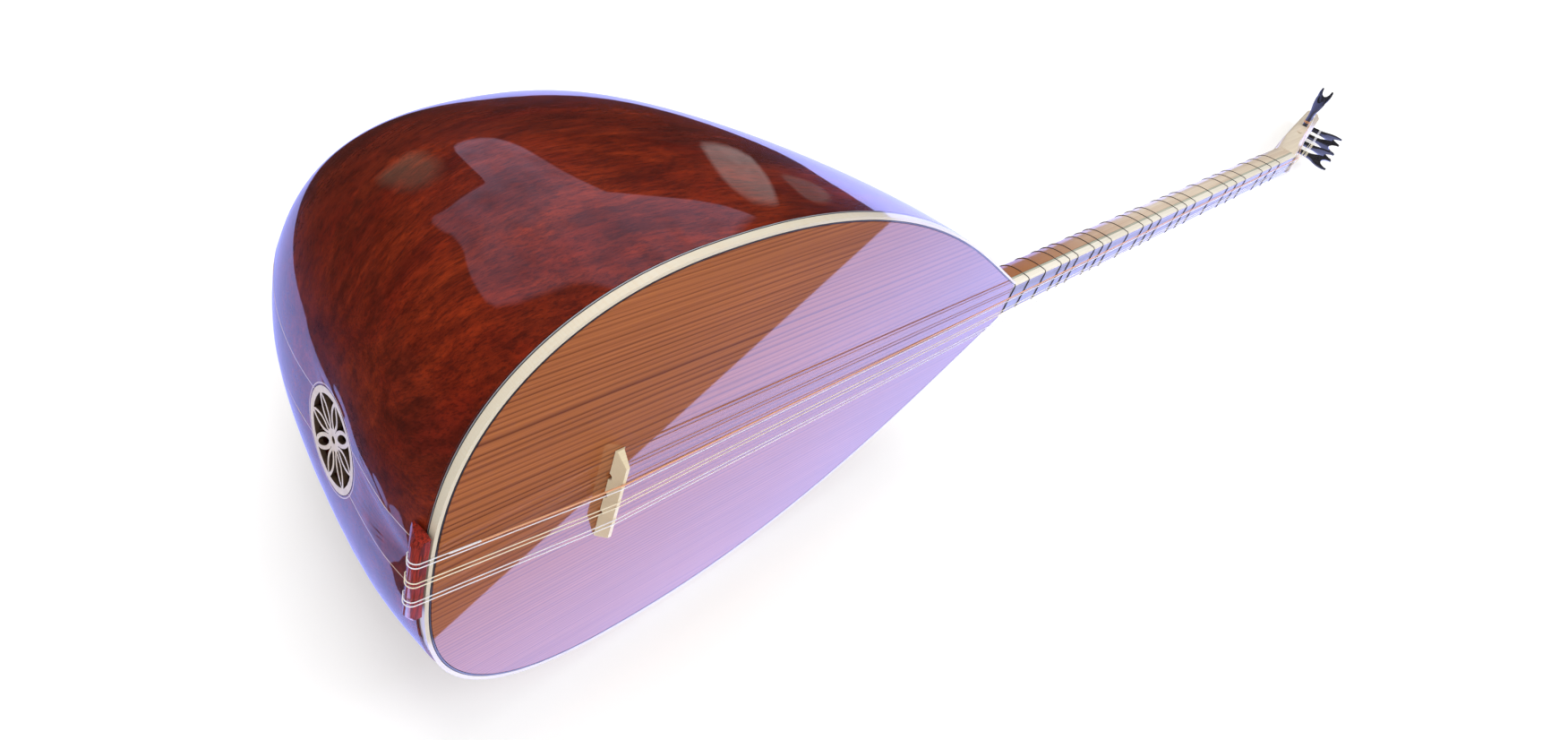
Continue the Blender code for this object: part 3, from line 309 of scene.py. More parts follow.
def wear_effect():
    """Faint dust and handling marks, as a mask and a roughness."""
    r, given, out = effect("Saz wear", {
        "Vector": ("Vector", None), "Base": ("Float", 0.2), "Spread": ("Float", 0.1)},
        ("Roughness", "Marks"))
    vector = given["Vector"]
    broad = r.noise(vector, 14.0, 4.0)
    fine = r.noise(vector, (60.0, 900.0, 900.0), 3.0)
    both = r.math("MULTIPLY_ADD", fine, 0.35, r.math("MULTIPLY", broad, 0.65))
    r.feed(out["Roughness"], r.math("MULTIPLY_ADD", both, given["Spread"], given["Base"]))
    r.feed(out["Marks"], r.ramp(broad, (0.55, 0.0), (0.75, 1.0)))
    return r.tree


def thread_effect():
    """Twist of a wire or thread along X: height of its turns."""
    r, given, out = effect("Saz twist", {
        "Vector": ("Vector", None), "Pitch": ("Float", 0.0003), "Slant": ("Float", 0.0)},
        ("Height",))
    axes = r.node("SeparateXYZ", {0: given["Vector"]}).outputs
    slid = r.math("MULTIPLY_ADD", axes["Y"], given["Slant"], axes["X"])
    turn = r.math("DIVIDE", slid, given["Pitch"])
    wave = r.math("ABSOLUTE", r.math("SINE", r.math("MULTIPLY", turn, math.pi)))
    r.feed(out["Height"], r.math("SQRT", wave))
    return r.tree


EFFECTS = {}


def effects():
    """The shader node groups, each made once."""
    if not EFFECTS:
        EFFECTS.update(grain=grain_effect(), figure=figure_effect(), wear=wear_effect(),
                       twist=thread_effect())
    return EFFECTS


class Finish(Recipe):
    """One material: a Principled shader on coordinates of the saz's own frame."""

    def __init__(self, name):
        self.material = bpy.data.materials.new(name)
        self.material.use_nodes = True
        super().__init__(self.material.node_tree)
        self.shader = self.tree.nodes["Principled BSDF"]
        given = self.node("TexCoord").outputs["Object"]
        turn = UNPLACE.to_3x3()
        mapping = self.node("Mapping", {"Vector": given, "Rotation": turn.to_euler("XYZ"),
                                        "Location": UNPLACE.translation})
        self.vector = mapping.outputs[0]

    def effect(self, key, **inputs):
        made = self.node("Group", node_tree=effects()[key])
        self.feed(made.inputs["Vector"], inputs.pop("vector", self.vector))
        for name, value in inputs.items():
            self.feed(made.inputs[name.replace("_", " ")], value)
        return made.outputs

    def set(self, **inputs):
        for name, value in inputs.items():
            self.feed(self.shader.inputs[name.replace("_", " ")], value)
        return self.material


def woods():
    return bpy.context.scene.saz_woods


def details():
    return bpy.context.scene.saz_details


def tint(rgb, factor):
    """A colour made lighter or darker."""
    return tuple(min(1.0, value * factor) for value in rgb)


def seam_highlight_and_ring_mask(f):
    """Mask of the painted highlight along the stave seams and of the ring scored round the rosette."""
    axes = f.node("SeparateXYZ", {0: f.vector}).outputs
    half = f.node("MapRange", {"Value": axes["X"], 1: JOINT_X, 2: TAIL_X,
                               3: STAVE_HALF_NECK, 4: STAVE_HALF_TAIL}, clamp=False).outputs[0]
    from_seam = f.math("ABSOLUTE", f.math("SUBTRACT", f.math("ABSOLUTE", axes["Y"]), half))
    # Painted highlight: a thin pale line along each stave seam.
    seam = f.math("LESS_THAN", from_seam, SEAM_HIGHLIGHT_WIDTH)
    across = f.math("DIVIDE", axes["Y"], RING_HALF_WIDTH)
    up = f.math("DIVIDE", f.math("SUBTRACT", axes["Z"], ROSETTE_Z), RING_HALF_HEIGHT)
    round_way = f.math("SQRT", f.math("ADD", f.math("MULTIPLY", across, across),
                                      f.math("MULTIPLY", up, up)))
    off_ring = f.math("ABSOLUTE", f.math("SUBTRACT", round_way, 1.0))
    ring = f.math("MULTIPLY", f.math("LESS_THAN", off_ring, 0.011),
                  f.math("GREATER_THAN", axes["X"], WIDEST_X))
    return f.math("MAXIMUM", seam, ring)


def along_bowl(f):
    """Coordinates that follow the bowl: along its length and round the axis of its staves."""
    axes = f.node("SeparateXYZ", {0: f.vector}).outputs
    axis = f.node("MapRange", {"Value": axes["X"], 1: JOINT_X, 2: TAIL_X, 3: -0.02, 4: -0.085},
                  clamp=False)
    off = f.math("SUBTRACT", axes["Z"], axis.outputs[0])
    radial = f.node("CombineXYZ", {"Y": axes["Y"], "Z": off}).outputs[0]
    reach = f.node("VectorMath", {0: radial}, operation="LENGTH").outputs["Value"]
    along = f.math("MULTIPLY_ADD", reach, -0.8, axes["X"])
    heading = f.node("VectorMath", {0: radial}, operation="NORMALIZE").outputs[0]
    length_way = f.node("CombineXYZ", {"X": along}).outputs[0]
    inner = f.node("VectorMath", {0: radial, 1: (0.5, 0.5, 0.5), 2: length_way},
                   operation="MULTIPLY_ADD").outputs[0]
    fanned = f.node("MapRange", {"Value": reach, 1: 0.0, 2: 0.08, 3: 0.0, 4: 0.07}).outputs[0]
    swept = f.node("VectorMath", {0: heading, "Scale": fanned}, operation="SCALE").outputs[0]
    return f.node("VectorMath", {0: swept, 1: inner}, operation="ADD").outputs[0]


def bowl_finish(name, patch_size, lighter):
    """Mottled red-brown hardwood under a thick clear varnish."""
    w, f = woods(), Finish(name)
    red, orange, dark = (tint(c, lighter) for c in (w.bowl_red, w.bowl_orange, w.bowl_dark))
    figure = f.effect("figure", vector=along_bowl(f), Patch_Size=patch_size)
    base = f.mix(f.math("MULTIPLY", figure["Patches"], 0.52), red, orange)
    base = f.mix(f.math("MULTIPLY", figure["Shade"], 0.70), base, dark)
    base = f.mix(f.math("MULTIPLY", figure["Streaks"], 0.45), base, tint(red, 0.34))
    base = f.mix(f.math("MULTIPLY", figure["Pores"], 0.50), base, tint(dark, 0.9))
    # Painted highlight along the stave seams, and the pale ring round the rosette.
    base = f.mix(seam_highlight_and_ring_mask(f), base, w.seam_highlight_and_ring)
    wear = f.effect("wear", Base=0.30, Spread=0.25)
    dip = f.math("SUBTRACT", 1.0, figure["Pores"])
    return f.set(Base_Color=base, Roughness=wear["Roughness"], Normal=f.bump(dip, 0.00004, 0.35),
                 Specular_IOR_Level=0.08, Coat_Weight=w.varnish, Coat_Roughness=0.03,
                 Coat_IOR=1.5)


def holder_finish():
    """Deep red streaked wood of the string holder."""
    w, f = woods(), Finish("holder mahogany")
    axes = f.node("SeparateXYZ", {0: f.vector}).outputs
    upright = f.node("CombineXYZ", {"X": axes["Y"], "Y": axes["X"], "Z": axes["Z"]}).outputs[0]
    figure = f.effect("figure", vector=f.stretched(upright, (1.2, 4.0, 4.0)), Patch_Size=1.0)
    base = f.mix(figure["Streaks"], tint(w.holder, 1.35), tint(w.holder, 0.35))
    base = f.mix(f.math("MULTIPLY", figure["Pores"], 0.6), base, tint(w.holder, 0.15))
    wear = f.effect("wear", Base=0.30, Spread=0.2)
    dip = f.math("SUBTRACT", 1.0, figure["Pores"])
    return f.set(Base_Color=base, Roughness=wear["Roughness"], Normal=f.bump(dip, 0.00004, 0.35),
                 Specular_IOR_Level=0.35, Coat_Weight=0.8, Coat_Roughness=0.05)


def board_finish():
    """Reddish cedar with straight dark lines under varnish, and painted shade towards the neck."""
    w, d, f = woods(), details(), Finish("soundboard cedar")
    grain = f.effect("grain", Pitch=w.grain_pitch, Crowding=d.crowding, Centre=-0.045)
    base = f.mix(grain["Cloud"], tint(w.board, 0.80), tint(w.board, 1.2))
    axes = f.node("SeparateXYZ", {0: f.vector}).outputs
    off = f.math("ABSOLUTE", f.math("ADD", axes["Y"], 0.045))
    bold = f.node("MapRange", {"Value": off, 1: 0.015, 2: 0.10, 3: 1.0, 4: 0.80}).outputs[0]
    base = f.mix(f.math("MULTIPLY", grain["Lines"], bold), base, w.board_line)
    base = f.mix(f.math("MULTIPLY", grain["Fibre"], 0.40), base, tint(w.board_line, 1.3))
    # Painted shade: the cedar darkens towards the neck end.
    neck_end_shade = f.node("MapRange", {"Value": axes["X"], 1: 0.68, 2: 0.95, 3: 0.50, 4: 0.0},
                       interpolation_type="SMOOTHSTEP").outputs[0]
    base = f.mix(neck_end_shade, base, tint(w.board_line, 1.2))
    wear = f.effect("wear", Base=0.28, Spread=0.2)
    return f.set(Base_Color=base, Roughness=wear["Roughness"],
                 Normal=f.bump(grain["Fibre"], 0.00003, 0.3), Specular_IOR_Level=0.05,
                 Coat_Weight=w.varnish, Coat_Roughness=0.025, Coat_IOR=1.5)


def pale_finish(name, base_colour, line_colour, pitch, gloss, edge_lines=False):
    """Light close-grained wood, such as maple, with thin lines along its inner edge if asked."""
    f = Finish(name)
    grain = f.effect("grain", Pitch=pitch, Crowding=0.0, Wander=0.006, Centre=0.0)
    base = f.mix(grain["Cloud"], tint(base_colour, 0.88), tint(base_colour, 1.08))
    base = f.mix(f.math("MULTIPLY", grain["Lines"], 0.16), base, line_colour)
    base = f.mix(f.math("MULTIPLY", grain["Fibre"], 0.16), base, line_colour)
    if edge_lines:
        depth = f.node("SeparateXYZ", {0: f.vector}).outputs["Z"]
        base = f.mix(f.math("LESS_THAN", depth, DARK_EDGE_Z), base, (0.030, 0.026, 0.030))
        base = f.mix(f.math("LESS_THAN", depth, GREY_EDGE_Z), base, (0.30, 0.31, 0.34))
    wear = f.effect("wear", Base=0.32, Spread=0.25)
    return f.set(Base_Color=base, Roughness=wear["Roughness"],
                 Normal=f.bump(grain["Fibre"], 0.00003, 0.3), Coat_Weight=gloss,
                 Coat_Roughness=0.06)


def neck_finish():
    """Pale neck wood that turns redder and darker towards the bowl."""
    w, f = woods(), Finish("neck wood")
    grain = f.effect("grain", Pitch=0.0024, Crowding=0.0, Wander=0.009, Centre=0.0)
    axes = f.node("SeparateXYZ", {0: f.vector}).outputs
    near = f.node("MapRange", {"Value": axes["X"], 1: 0.34, 2: JOINT_X},
                  interpolation_type="SMOOTHSTEP")
    base = f.mix(near.outputs[0], w.neck, w.neck_heel)
    base = f.mix(f.math("MULTIPLY", grain["Cloud"], 0.22), base, tint(w.neck_heel, 1.4))
    base = f.mix(f.math("MULTIPLY", grain["Lines"], 0.22), base, tint(w.neck_heel, 0.9))
    base = f.mix(f.math("MULTIPLY", grain["Fibre"], 0.20), base, tint(w.neck_heel, 0.7))
    wear = f.effect("wear", Base=0.34, Spread=0.25)
    return f.set(Base_Color=base, Roughness=wear["Roughness"],
                 Normal=f.bump(grain["Fibre"], 0.00003, 0.35), Coat_Weight=0.5,
                 Coat_Roughness=0.09)


def head_finish():
    """The head: the neck's pale wood with redder lines and fibres."""
    w, f = woods(), Finish("head wood")
    grain = f.effect("grain", Pitch=0.003, Crowding=0.0, Wander=0.010, Centre=0.0)
    base = f.mix(grain["Cloud"], tint(w.neck, 0.85), tint(w.neck, 1.12))
    base = f.mix(f.math("MULTIPLY", grain["Lines"], 0.22), base, tint(w.neck_heel, 1.2))
    base = f.mix(f.math("MULTIPLY", grain["Fibre"], 0.20), base, tint(w.neck_heel, 0.8))
    wear = f.effect("wear", Base=0.34, Spread=0.25)
    return f.set(Base_Color=base, Roughness=wear["Roughness"],
                 Normal=f.bump(grain["Fibre"], 0.00003, 0.35), Coat_Weight=0.6,
                 Coat_Roughness=0.08)


def ebony_finish():
    """Polished black wood with faint grey streaks and worn, slightly duller patches."""
    w, f = woods(), Finish("peg ebony")
    figure = f.effect("figure", Patch_Size=3.0)
    base = f.mix(f.math("MULTIPLY", figure["Streaks"], 0.5), w.ebony, tint(w.ebony, 2.6))
    base = f.mix(f.math("MULTIPLY", figure["Patches"], 0.35), base, (0.03, 0.024, 0.022))
    wear = f.effect("wear", Base=0.16, Spread=0.22)
    return f.set(Base_Color=base, Roughness=wear["Roughness"],
                 Normal=f.bump(figure["Streaks"], 0.00004, 0.3), Coat_Weight=0.4,
                 Coat_Roughness=0.08)


def line_finish(name, rgb, roughness):
    """Dyed veneer: a dark or grey line with a little fibre; also the painted shade on the walls of the rosette's
    openings.
    """
    f = Finish(name)
    grain = f.effect("grain", Pitch=0.002, Crowding=0.0)
    base = f.mix(grain["Fibre"], tint(rgb, 0.7), tint(rgb, 1.5))
    wear = f.effect("wear", Base=roughness, Spread=0.2)
    return f.set(Base_Color=base, Roughness=wear["Roughness"],
                 Normal=f.bump(grain["Fibre"], 0.00002, 0.3), Coat_Weight=0.6,
                 Coat_Roughness=0.06)


def rosette_finish():
    """Smooth pinkish white plate, a little darker in its pores."""
    w, f = woods(), Finish("rosette cream")
    figure = f.effect("figure", Patch_Size=5.0)
    base = f.mix(figure["Shade"], w.cream, tint(w.cream, 0.86))
    base = f.mix(f.math("MULTIPLY", figure["Streaks"], 0.25), base, (0.55, 0.38, 0.28))
    wear = f.effect("wear", Base=0.36, Spread=0.2)
    return f.set(Base_Color=base, Roughness=wear["Roughness"],
                 Normal=f.bump(figure["Streaks"], 0.00004, 0.25), Coat_Weight=0.35,
                 Coat_Roughness=0.1)


def wire_finish(name, rgb, roughness, wound):
    """Drawn or wound metal wire, with tarnish; its near-white base with little metallic is partly the metal's own
    colour and partly painted highlight.
    """
    f = Finish(name)
    wear = f.effect("wear", Base=roughness, Spread=0.18)
    base = f.mix(f.math("MULTIPLY", wear["Marks"], 0.5), rgb, tint(rgb, 0.62))
    settings = {}
    if wound:
        twist = f.effect("twist", Pitch=details().wrap_pitch, Slant=0.15)
        axes = f.node("SeparateXYZ", {0: f.vector}).outputs
        bare = f.math("GREATER_THAN", axes["X"], WRAP_END_X)
        # Painted shade in the grooves between the turns of the winding.
        groove_shade = f.math("MULTIPLY", f.math("SUBTRACT", 1.0, twist["Height"]), 0.7)
        base = f.mix(bare, f.mix(groove_shade, base, tint(rgb, 0.25)), (0.92, 0.92, 0.95))
        settings["Normal"] = f.bump(twist["Height"], 0.00008, 0.6)
    return f.set(Base_Color=base, Roughness=wear["Roughness"], Metallic=0.12, **settings)


def gut_finish():
    """Dark nylon of the tied frets."""
    f = Finish("fret line")
    wear = f.effect("wear", Base=0.28, Spread=0.2)
    base = f.mix(wear["Marks"], (0.040, 0.030, 0.030), (0.075, 0.055, 0.045))
    return f.set(Base_Color=base, Roughness=wear["Roughness"], Coat_Weight=0.3)


def bare_finish():
    """Unvarnished spruce inside the body."""
    f = Finish("inner spruce")
    grain = f.effect("grain", Pitch=0.0016, Crowding=0.0, Wander=0.003)
    base = f.mix(f.math("MULTIPLY", grain["Lines"], 0.6), (0.55, 0.40, 0.22), (0.36, 0.21, 0.09))
    base = f.mix(f.math("MULTIPLY", grain["Fibre"], 0.3), base, (0.40, 0.27, 0.14))
    return f.set(Base_Color=base, Roughness=f.effect("wear", Base=0.6, Spread=0.2)["Roughness"],
                 Normal=f.bump(grain["Fibre"], 0.00005, 0.5))


MAKERS = {
    "bowl": lambda: bowl_finish("bowl mahogany", 1.0, 1.0),
    "stave": lambda: bowl_finish("stave mahogany", 1.3, 1.05),
    "holder": holder_finish,
    "board": board_finish,
    "neck": neck_finish,
    "head": head_finish,
    "binding": lambda: pale_finish("binding maple", woods().maple, (0.62, 0.42, 0.20), 0.0011, 0.9,
                                   edge_lines=True),
    "fingerboard": lambda: pale_finish("fingerboard maple", (0.82, 0.78, 0.68),
                                       (0.56, 0.42, 0.27), 0.0016, 0.5),
    # Painted shade: the front face of the fingerboard gets a dark copy of its pale wood.
    "shaded_playing_face": lambda: pale_finish("shaded playing face", woods().shaded_playing_face,
                                        tint(woods().shaded_playing_face, 0.5), 0.0016, 0.60),
    "bridge": lambda: pale_finish("bridge maple", (0.83, 0.72, 0.50), (0.60, 0.42, 0.22),
                                  0.0012, 0.3),
    "nut": lambda: pale_finish("nut bone", woods().cream, (0.6, 0.48, 0.34), 0.002, 0.4),
    "rosette": rosette_finish,
    # Painted shade: the walls of the rosette's openings get a dark brown.
    "rosette_wall_shade": lambda: line_finish("rosette wall shade", (0.060, 0.034, 0.020), 0.5),
    "pegs": ebony_finish,
    "dark_line": lambda: line_finish("dark line", (0.020, 0.013, 0.010), 0.3),
    "grey_line": lambda: line_finish("grey line", (0.40, 0.41, 0.33), 0.35),
    "frets": gut_finish,
    "spruce": bare_finish,
    # Near-white wire colours with little metallic: partly the metals' own colour, partly painted highlight.
    "steel": lambda: wire_finish("steel wire", (0.96, 0.96, 1.0), 0.24, False),
    "bronze": lambda: wire_finish("bronze wire", (0.98, 0.90, 0.70), 0.26, False),
    "copper": lambda: wire_finish("copper wrap", (0.98, 0.50, 0.27), 0.28, True),
}
MADE = {}


def finish(key):
    """A finish by name, made once."""
    if key not in MADE:
        MADE[key] = MAKERS[key]()
    return MADE[key]


def wear_finish(node, key):
    """Gives a carried-over node its finish."""
    mesh = frame["nodes"][node].data
    mesh.materials.clear()
    mesh.materials.append(finish(key))


# ---------------------------------------------------------------- finer pieces
SHARP_ANGLE = math.radians(32)


def merged_copy(node):
    """A bmesh of a node's mesh with its loose triangles joined."""
    work = bmesh.new()
    work.from_mesh(frame["nodes"][node].data)
    bmesh.ops.remove_doubles(work, verts=work.verts, dist=2e-6)
    return work


def soften(work, angle=SHARP_ANGLE):
    """Smooth shading with sharp edges where the faces turn by more than the angle."""
    for face in work.faces:
        face.smooth = True
    for edge in work.edges:
        edge.smooth = len(edge.link_faces) != 2 or edge.calc_face_angle(0.0) < angle


def keep_piece(name, work, node, key, bevel=None):
    """Makes the bmesh a piece that rides where the node does and stands for it."""
    mesh = bpy.data.meshes.new(name)
    soften(work)
    work.to_mesh(mesh)
    work.free()
    piece = bpy.data.objects.new(name, mesh)
    bpy.context.scene.collection.objects.link(piece)
    mesh.materials.append(finish(key))
    if bevel:
        rounding = piece.modifiers.new("Edge", "BEVEL")
        rounding.width, rounding.segments = bevel, details().rounding
        rounding.limit_method, rounding.angle_limit = "ANGLE", SHARP_ANGLE
        rounding.harden_normals = True
        rounding.use_clamp_overlap = True
    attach(piece, body_of_node(node))
    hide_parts(node)
    return piece


def body_of_node(node):
    """The body that a node rides on."""
    bodies = RECORD["behaviour"]["bodies"]
    return next(body for body, members in bodies.items() if node in members)


def flattened(work, angle=0.4):
    """Joins the triangles of each flat face, so that bevels run clean."""
    bmesh.ops.dissolve_limit(work, angle_limit=math.radians(angle), verts=work.verts,
                             edges=work.edges)


def creased(work, angle=SHARP_ANGLE):
    """Joins triangles to four-sided faces and creases the sharp edges, ready to be rounded."""
    bmesh.ops.join_triangles(work, faces=work.faces, angle_face_threshold=0.35,
                             angle_shape_threshold=1.0)
    layer = work.edges.layers.float.get("crease_edge") or work.edges.layers.float.new("crease_edge")
    for edge in work.edges:
        if len(edge.link_faces) == 2 and edge.calc_face_angle(0.0) > angle:
            edge[layer] = 1.0


def rounded(work, name, node, key, levels, bevel=None):
    """Keeps the bmesh as a piece whose curves are rounded and whose sharp edges stay."""
    creased(work)
    piece = keep_piece(name, work, node, key, bevel)
    rounder = piece.modifiers.new("Rounder", "SUBSURF")
    rounder.levels = rounder.render_levels = levels
    return piece


def finer(name, node, key, bevel=None, flat=True, levels=0):
    """A node's shape with clean faces, softened edges and, with levels, rounder curves."""
    work = merged_copy(node)
    if flat:
        flattened(work)
    if levels:
        return rounded(work, name, node, key, levels, bevel)
    return keep_piece(name, work, node, key, bevel)


WALL_LEAN = 0.6
NECK_MIDDLE_Z = -0.012
FRET_STEPS = 72
KNOT_STEP = 67


def paint_faces(piece, key, direction, wanted):
    """A second finish on the faces whose lean along a direction of the saz is wanted."""
    piece.data.materials.append(finish(key))
    towards = (PLACE.to_3x3() @ Vector(direction)).normalized()
    for polygon in piece.data.polygons:
        if wanted(polygon.normal.dot(towards)):
            polygon.material_index = 1


# ---------------------------------------------------------------- operators
class SAZ_OT_bowl(bpy.types.Operator):
    """Dress the carved bowl with its centre and tail staves"""
    bl_idname = "saz.bowl"
    bl_label = "Bowl"

    def fitted_stave(self, name, node):
        """A stave that meets its neighbours without the clearance of the solids."""
        work = merged_copy(node)
        outwards = PLACE.to_3x3() @ Vector((0.0, 1.0, 0.0))
        for vert in work.verts:
            side = (UNPLACE @ vert.co).y
            if abs(side) > STAVE_HALF_NECK * 0.6:
                vert.co += outwards * math.copysign(details().seam_fit, side)
        rounded(work, name, node, "stave", 2)

    def execute(self, context):
        finer("carved_bowl_bass", "bowl_bass_side", "bowl", flat=False, levels=2)
        finer("carved_bowl_treble", "bowl_treble_side", "bowl", flat=False, levels=2)
        self.fitted_stave("centre_stave", "bowl_centre_stave")
        self.fitted_stave("tail_stave", "bowl_tail_stave")
        for node in ("neck_block", "tail_block", "upper_brace", "lower_brace"):
            wear_finish(node, "spruce")
        return {"FINISHED"}


class SAZ_OT_soundboard(bpy.types.Operator):
    """Dress the soundboard with its line and the binding round it"""
    bl_idname = "saz.soundboard"
    bl_label = "Soundboard and Binding"

    def execute(self, context):
        finer("cedar_board", "soundboard", "board", levels=2)
        finer("ivory_binding", "binding", "binding", flat=False, levels=2)
        finer("inlaid_line", "purfling", "dark_line", flat=False, levels=2)
        return {"FINISHED"}


class SAZ_OT_rosette(bpy.types.Operator):
    """Dress the openwork rosette in the tail"""
    bl_idname = "saz.rosette"
    bl_label = "Rosette"

    def widen_ribs(self, work):
        """Moves the walls of the openings outwards, which makes the ribs between them wider."""
        unturn = UNPLACE.to_3x3()
        work.normal_update()
        for vert in work.verts:
            at = UNPLACE @ vert.co
            reach = math.hypot(at.y / ROSETTE_HALF_WIDTH, (at.z - ROSETTE_Z) / ROSETTE_HALF_HEIGHT)
            walls = [unturn @ face.normal for face in vert.link_faces]
            walls = [normal for normal in walls if abs(normal.x) < 0.5]
            if reach > 0.965 or not walls:
                continue
            push = sum(walls, Vector())
            push.x = 0.0
            if push.length > 0.1:
                vert.co += PLACE.to_3x3() @ (push.normalized() * details().rib_growth)

    def execute(self, context):
        work = merged_copy("rosette")
        self.widen_ribs(work)
        plate = keep_piece("openwork_rosette", work, "rosette", "rosette")
        # Painted shade on the walls of the openings.
        paint_faces(plate, "rosette_wall_shade", (1.0, 0.0, 0.0), lambda lean: lean < WALL_LEAN)
        return {"FINISHED"}


class SAZ_OT_string_seats(bpy.types.Operator):
    """Dress the string holder, the bridge and the nut"""
    bl_idname = "saz.string_seats"
    bl_label = "Holder, Bridge and Nut"

    def execute(self, context):
        finer("tail_holder", "string_holder", "holder", details().edge)
        finer("loose_bridge", "bridge", "bridge")
        finer("bone_nut", "nut", "nut")
        return {"FINISHED"}


class SAZ_OT_neck(bpy.types.Operator):
    """Dress the neck, the fingerboard, the veneer and the head"""
    bl_idname = "saz.neck"
    bl_label = "Neck and Head"

    def front_edges(self, work):
        """The two long edges between the front and the sides."""
        turn, chosen = UNPLACE.to_3x3(), []
        for edge in work.edges:
            run = turn @ (edge.verts[0].co - edge.verts[1].co)
            if abs(run.normalized().x) < 0.99 or len(edge.link_faces) != 2:
                continue
            leans = sorted((turn @ face.normal).z for face in edge.link_faces)
            if leans[0] < 0.4 and leans[1] > 0.9:
                chosen.append(edge)
        return chosen

    def execute(self, context):
        finer("long_neck", "neck", "neck", flat=False, levels=1)
        work = merged_copy("fingerboard")
        flattened(work)
        bmesh.ops.bevel(work, geom=self.front_edges(work), offset=details().board_edge, segments=6,
                        affect="EDGES", profile=0.5, clamp_overlap=True)
        board = keep_piece("maple_fingerboard", work, "fingerboard", "fingerboard")
        # Painted shade on the front face of the fingerboard.
        paint_faces(board, "shaded_playing_face", (0.0, 0.0, 1.0), lambda lean: lean > 0.985)
        wear_finish("neck_veneer", "grey_line")
        finer("tilted_head", "head", "head", flat=False)
        return {"FINISHED"}


class SAZ_OT_frets(bpy.types.Operator):
    """Dress the tied frets"""
    bl_idname = "saz.frets"
    bl_label = "Tied Frets"

    def execute(self, context):
        carrier = self.carrier()
        for node in sorted(n for n in frame["nodes"] if n.startswith("fret_")):
            corners = [UNPLACE @ vert.co for vert in frame["nodes"][node].data.vertices]
            station = sum(corner.x for corner in corners) / len(corners)
            path = self.loop_round(carrier, station)
            self.tie(node, path)
        return {"FINISHED"}

    def carrier(self):
        """Neck, veneer and fingerboard as one surface in the saz's own frame."""
        corners, faces = [], []
        graph = bpy.context.evaluated_depsgraph_get()
        pieces = [bpy.data.objects[name] for name in ("long_neck", "maple_fingerboard")]
        for piece in [frame["nodes"]["neck_veneer"], *pieces]:
            shown = piece.evaluated_get(graph)
            mesh, first = shown.to_mesh(), len(corners)
            corners += [UNPLACE @ vert.co for vert in mesh.vertices]
            faces += [[first + i for i in polygon.vertices] for polygon in mesh.polygons]
            shown.to_mesh_clear()
        return BVHTree.FromPolygons(corners, faces)

    def loop_round(self, carrier, station):
        """Points of a line that lies on the neck and the fingerboard all round."""
        radius, middle = details().fret_radius, Vector((station, 0.0, NECK_MIDDLE_Z))
        path = []
        for step in range(FRET_STEPS):
            turn = math.tau * step / FRET_STEPS
            out = Vector((0.0, math.cos(turn), math.sin(turn)))
            hit, normal, _, _ = carrier.ray_cast(middle + out * 0.06, -out)
            if hit is None:
                raise RuntimeError(f"no neck under the fret at {station:.3f} m")
            path.append(hit + out * radius / max(0.55, abs(normal.dot(out))))
        return path

    def tie(self, node, path):
        """Makes the loop with its knot and cut ends below the treble edge."""
        curve = bpy.data.curves.new(node, "CURVE")
        curve.dimensions, curve.bevel_depth, curve.bevel_resolution = "3D", details().fret_radius, 2
        spline = curve.splines.new("POLY")
        spline.points.add(len(path) - 1)
        for point, place in zip(spline.points, path):
            point.co = (*place, 1.0)
        spline.use_cyclic_u = True
        loop = bpy.data.objects.new(node + "_loop", curve)
        mesh = bpy.data.meshes.new_from_object(loop)
        work = bmesh.new()
        work.from_mesh(mesh)
        bpy.data.objects.remove(loop)
        at = path[KNOT_STEP]
        out = (at - Vector((at.x, 0.0, NECK_MIDDLE_Z))).normalized()
        knot = Matrix.Translation(at + out * 0.0003) @ out.to_track_quat("Z", "X").to_matrix().to_4x4()
        bmesh.ops.create_uvsphere(work, u_segments=12, v_segments=8, radius=1.0,
                                  matrix=knot @ Matrix.Diagonal((0.00125, 0.0012, 0.0008, 1.0)))
        for lean in (-0.9, 0.8):
            end = knot @ Matrix.Rotation(lean, 4, "Y") @ Matrix.Translation((0.0, 0.0, 0.0011))
            bmesh.ops.create_cone(work, cap_ends=True, segments=8, radius1=0.0004, radius2=0.00036,
                                  depth=0.0022, matrix=end)
        work.transform(PLACE)
        keep_piece("tied_" + node, work, node, "frets")


class SAZ_OT_pegs(bpy.types.Operator):
    """Dress the fork-ended pegs"""
    bl_idname = "saz.pegs"
    bl_label = "Pegs"

    def execute(self, context):
        for number in range(1, 7):
            finer(f"forked_peg_{number}", f"peg_{number}", "pegs", flat=False, levels=2)
        return {"FINISHED"}


WIRES = ("copper", "steel", "bronze", "bronze", "steel", "steel")


class SAZ_OT_strings(bpy.types.Operator):
    """Dress the six strings and their windings"""
    bl_idname = "saz.strings"
    bl_label = "Strings"

    def execute(self, context):
        for number, wire in enumerate(WIRES, start=1):
            for node, name in ((f"string_{number}", f"wire_{number}"),
                               (f"string_{number}_winding", f"wire_{number}_turns")):
                work = merged_copy(node)
                work.normal_update()
                grow = [(vert, vert.normal.copy()) for vert in work.verts]
                for vert, normal in grow:
                    vert.co += normal * details().wire_growth
                keep_piece(name, work, node, wire)
        return {"FINISHED"}


# ---------------------------------------------------------------- stage
CAMERA_SPOT = Vector((1.3113, -0.4126, 0.2512))
CAMERA_RIGHT = Vector((-0.6772, -0.2867, 0.6777))
CAMERA_DOWN = Vector((0.2420, 0.7830, 0.5730))
CAMERA_SHIFT = (-0.01484, -0.05998)
FLOOR_REACH = 30.0


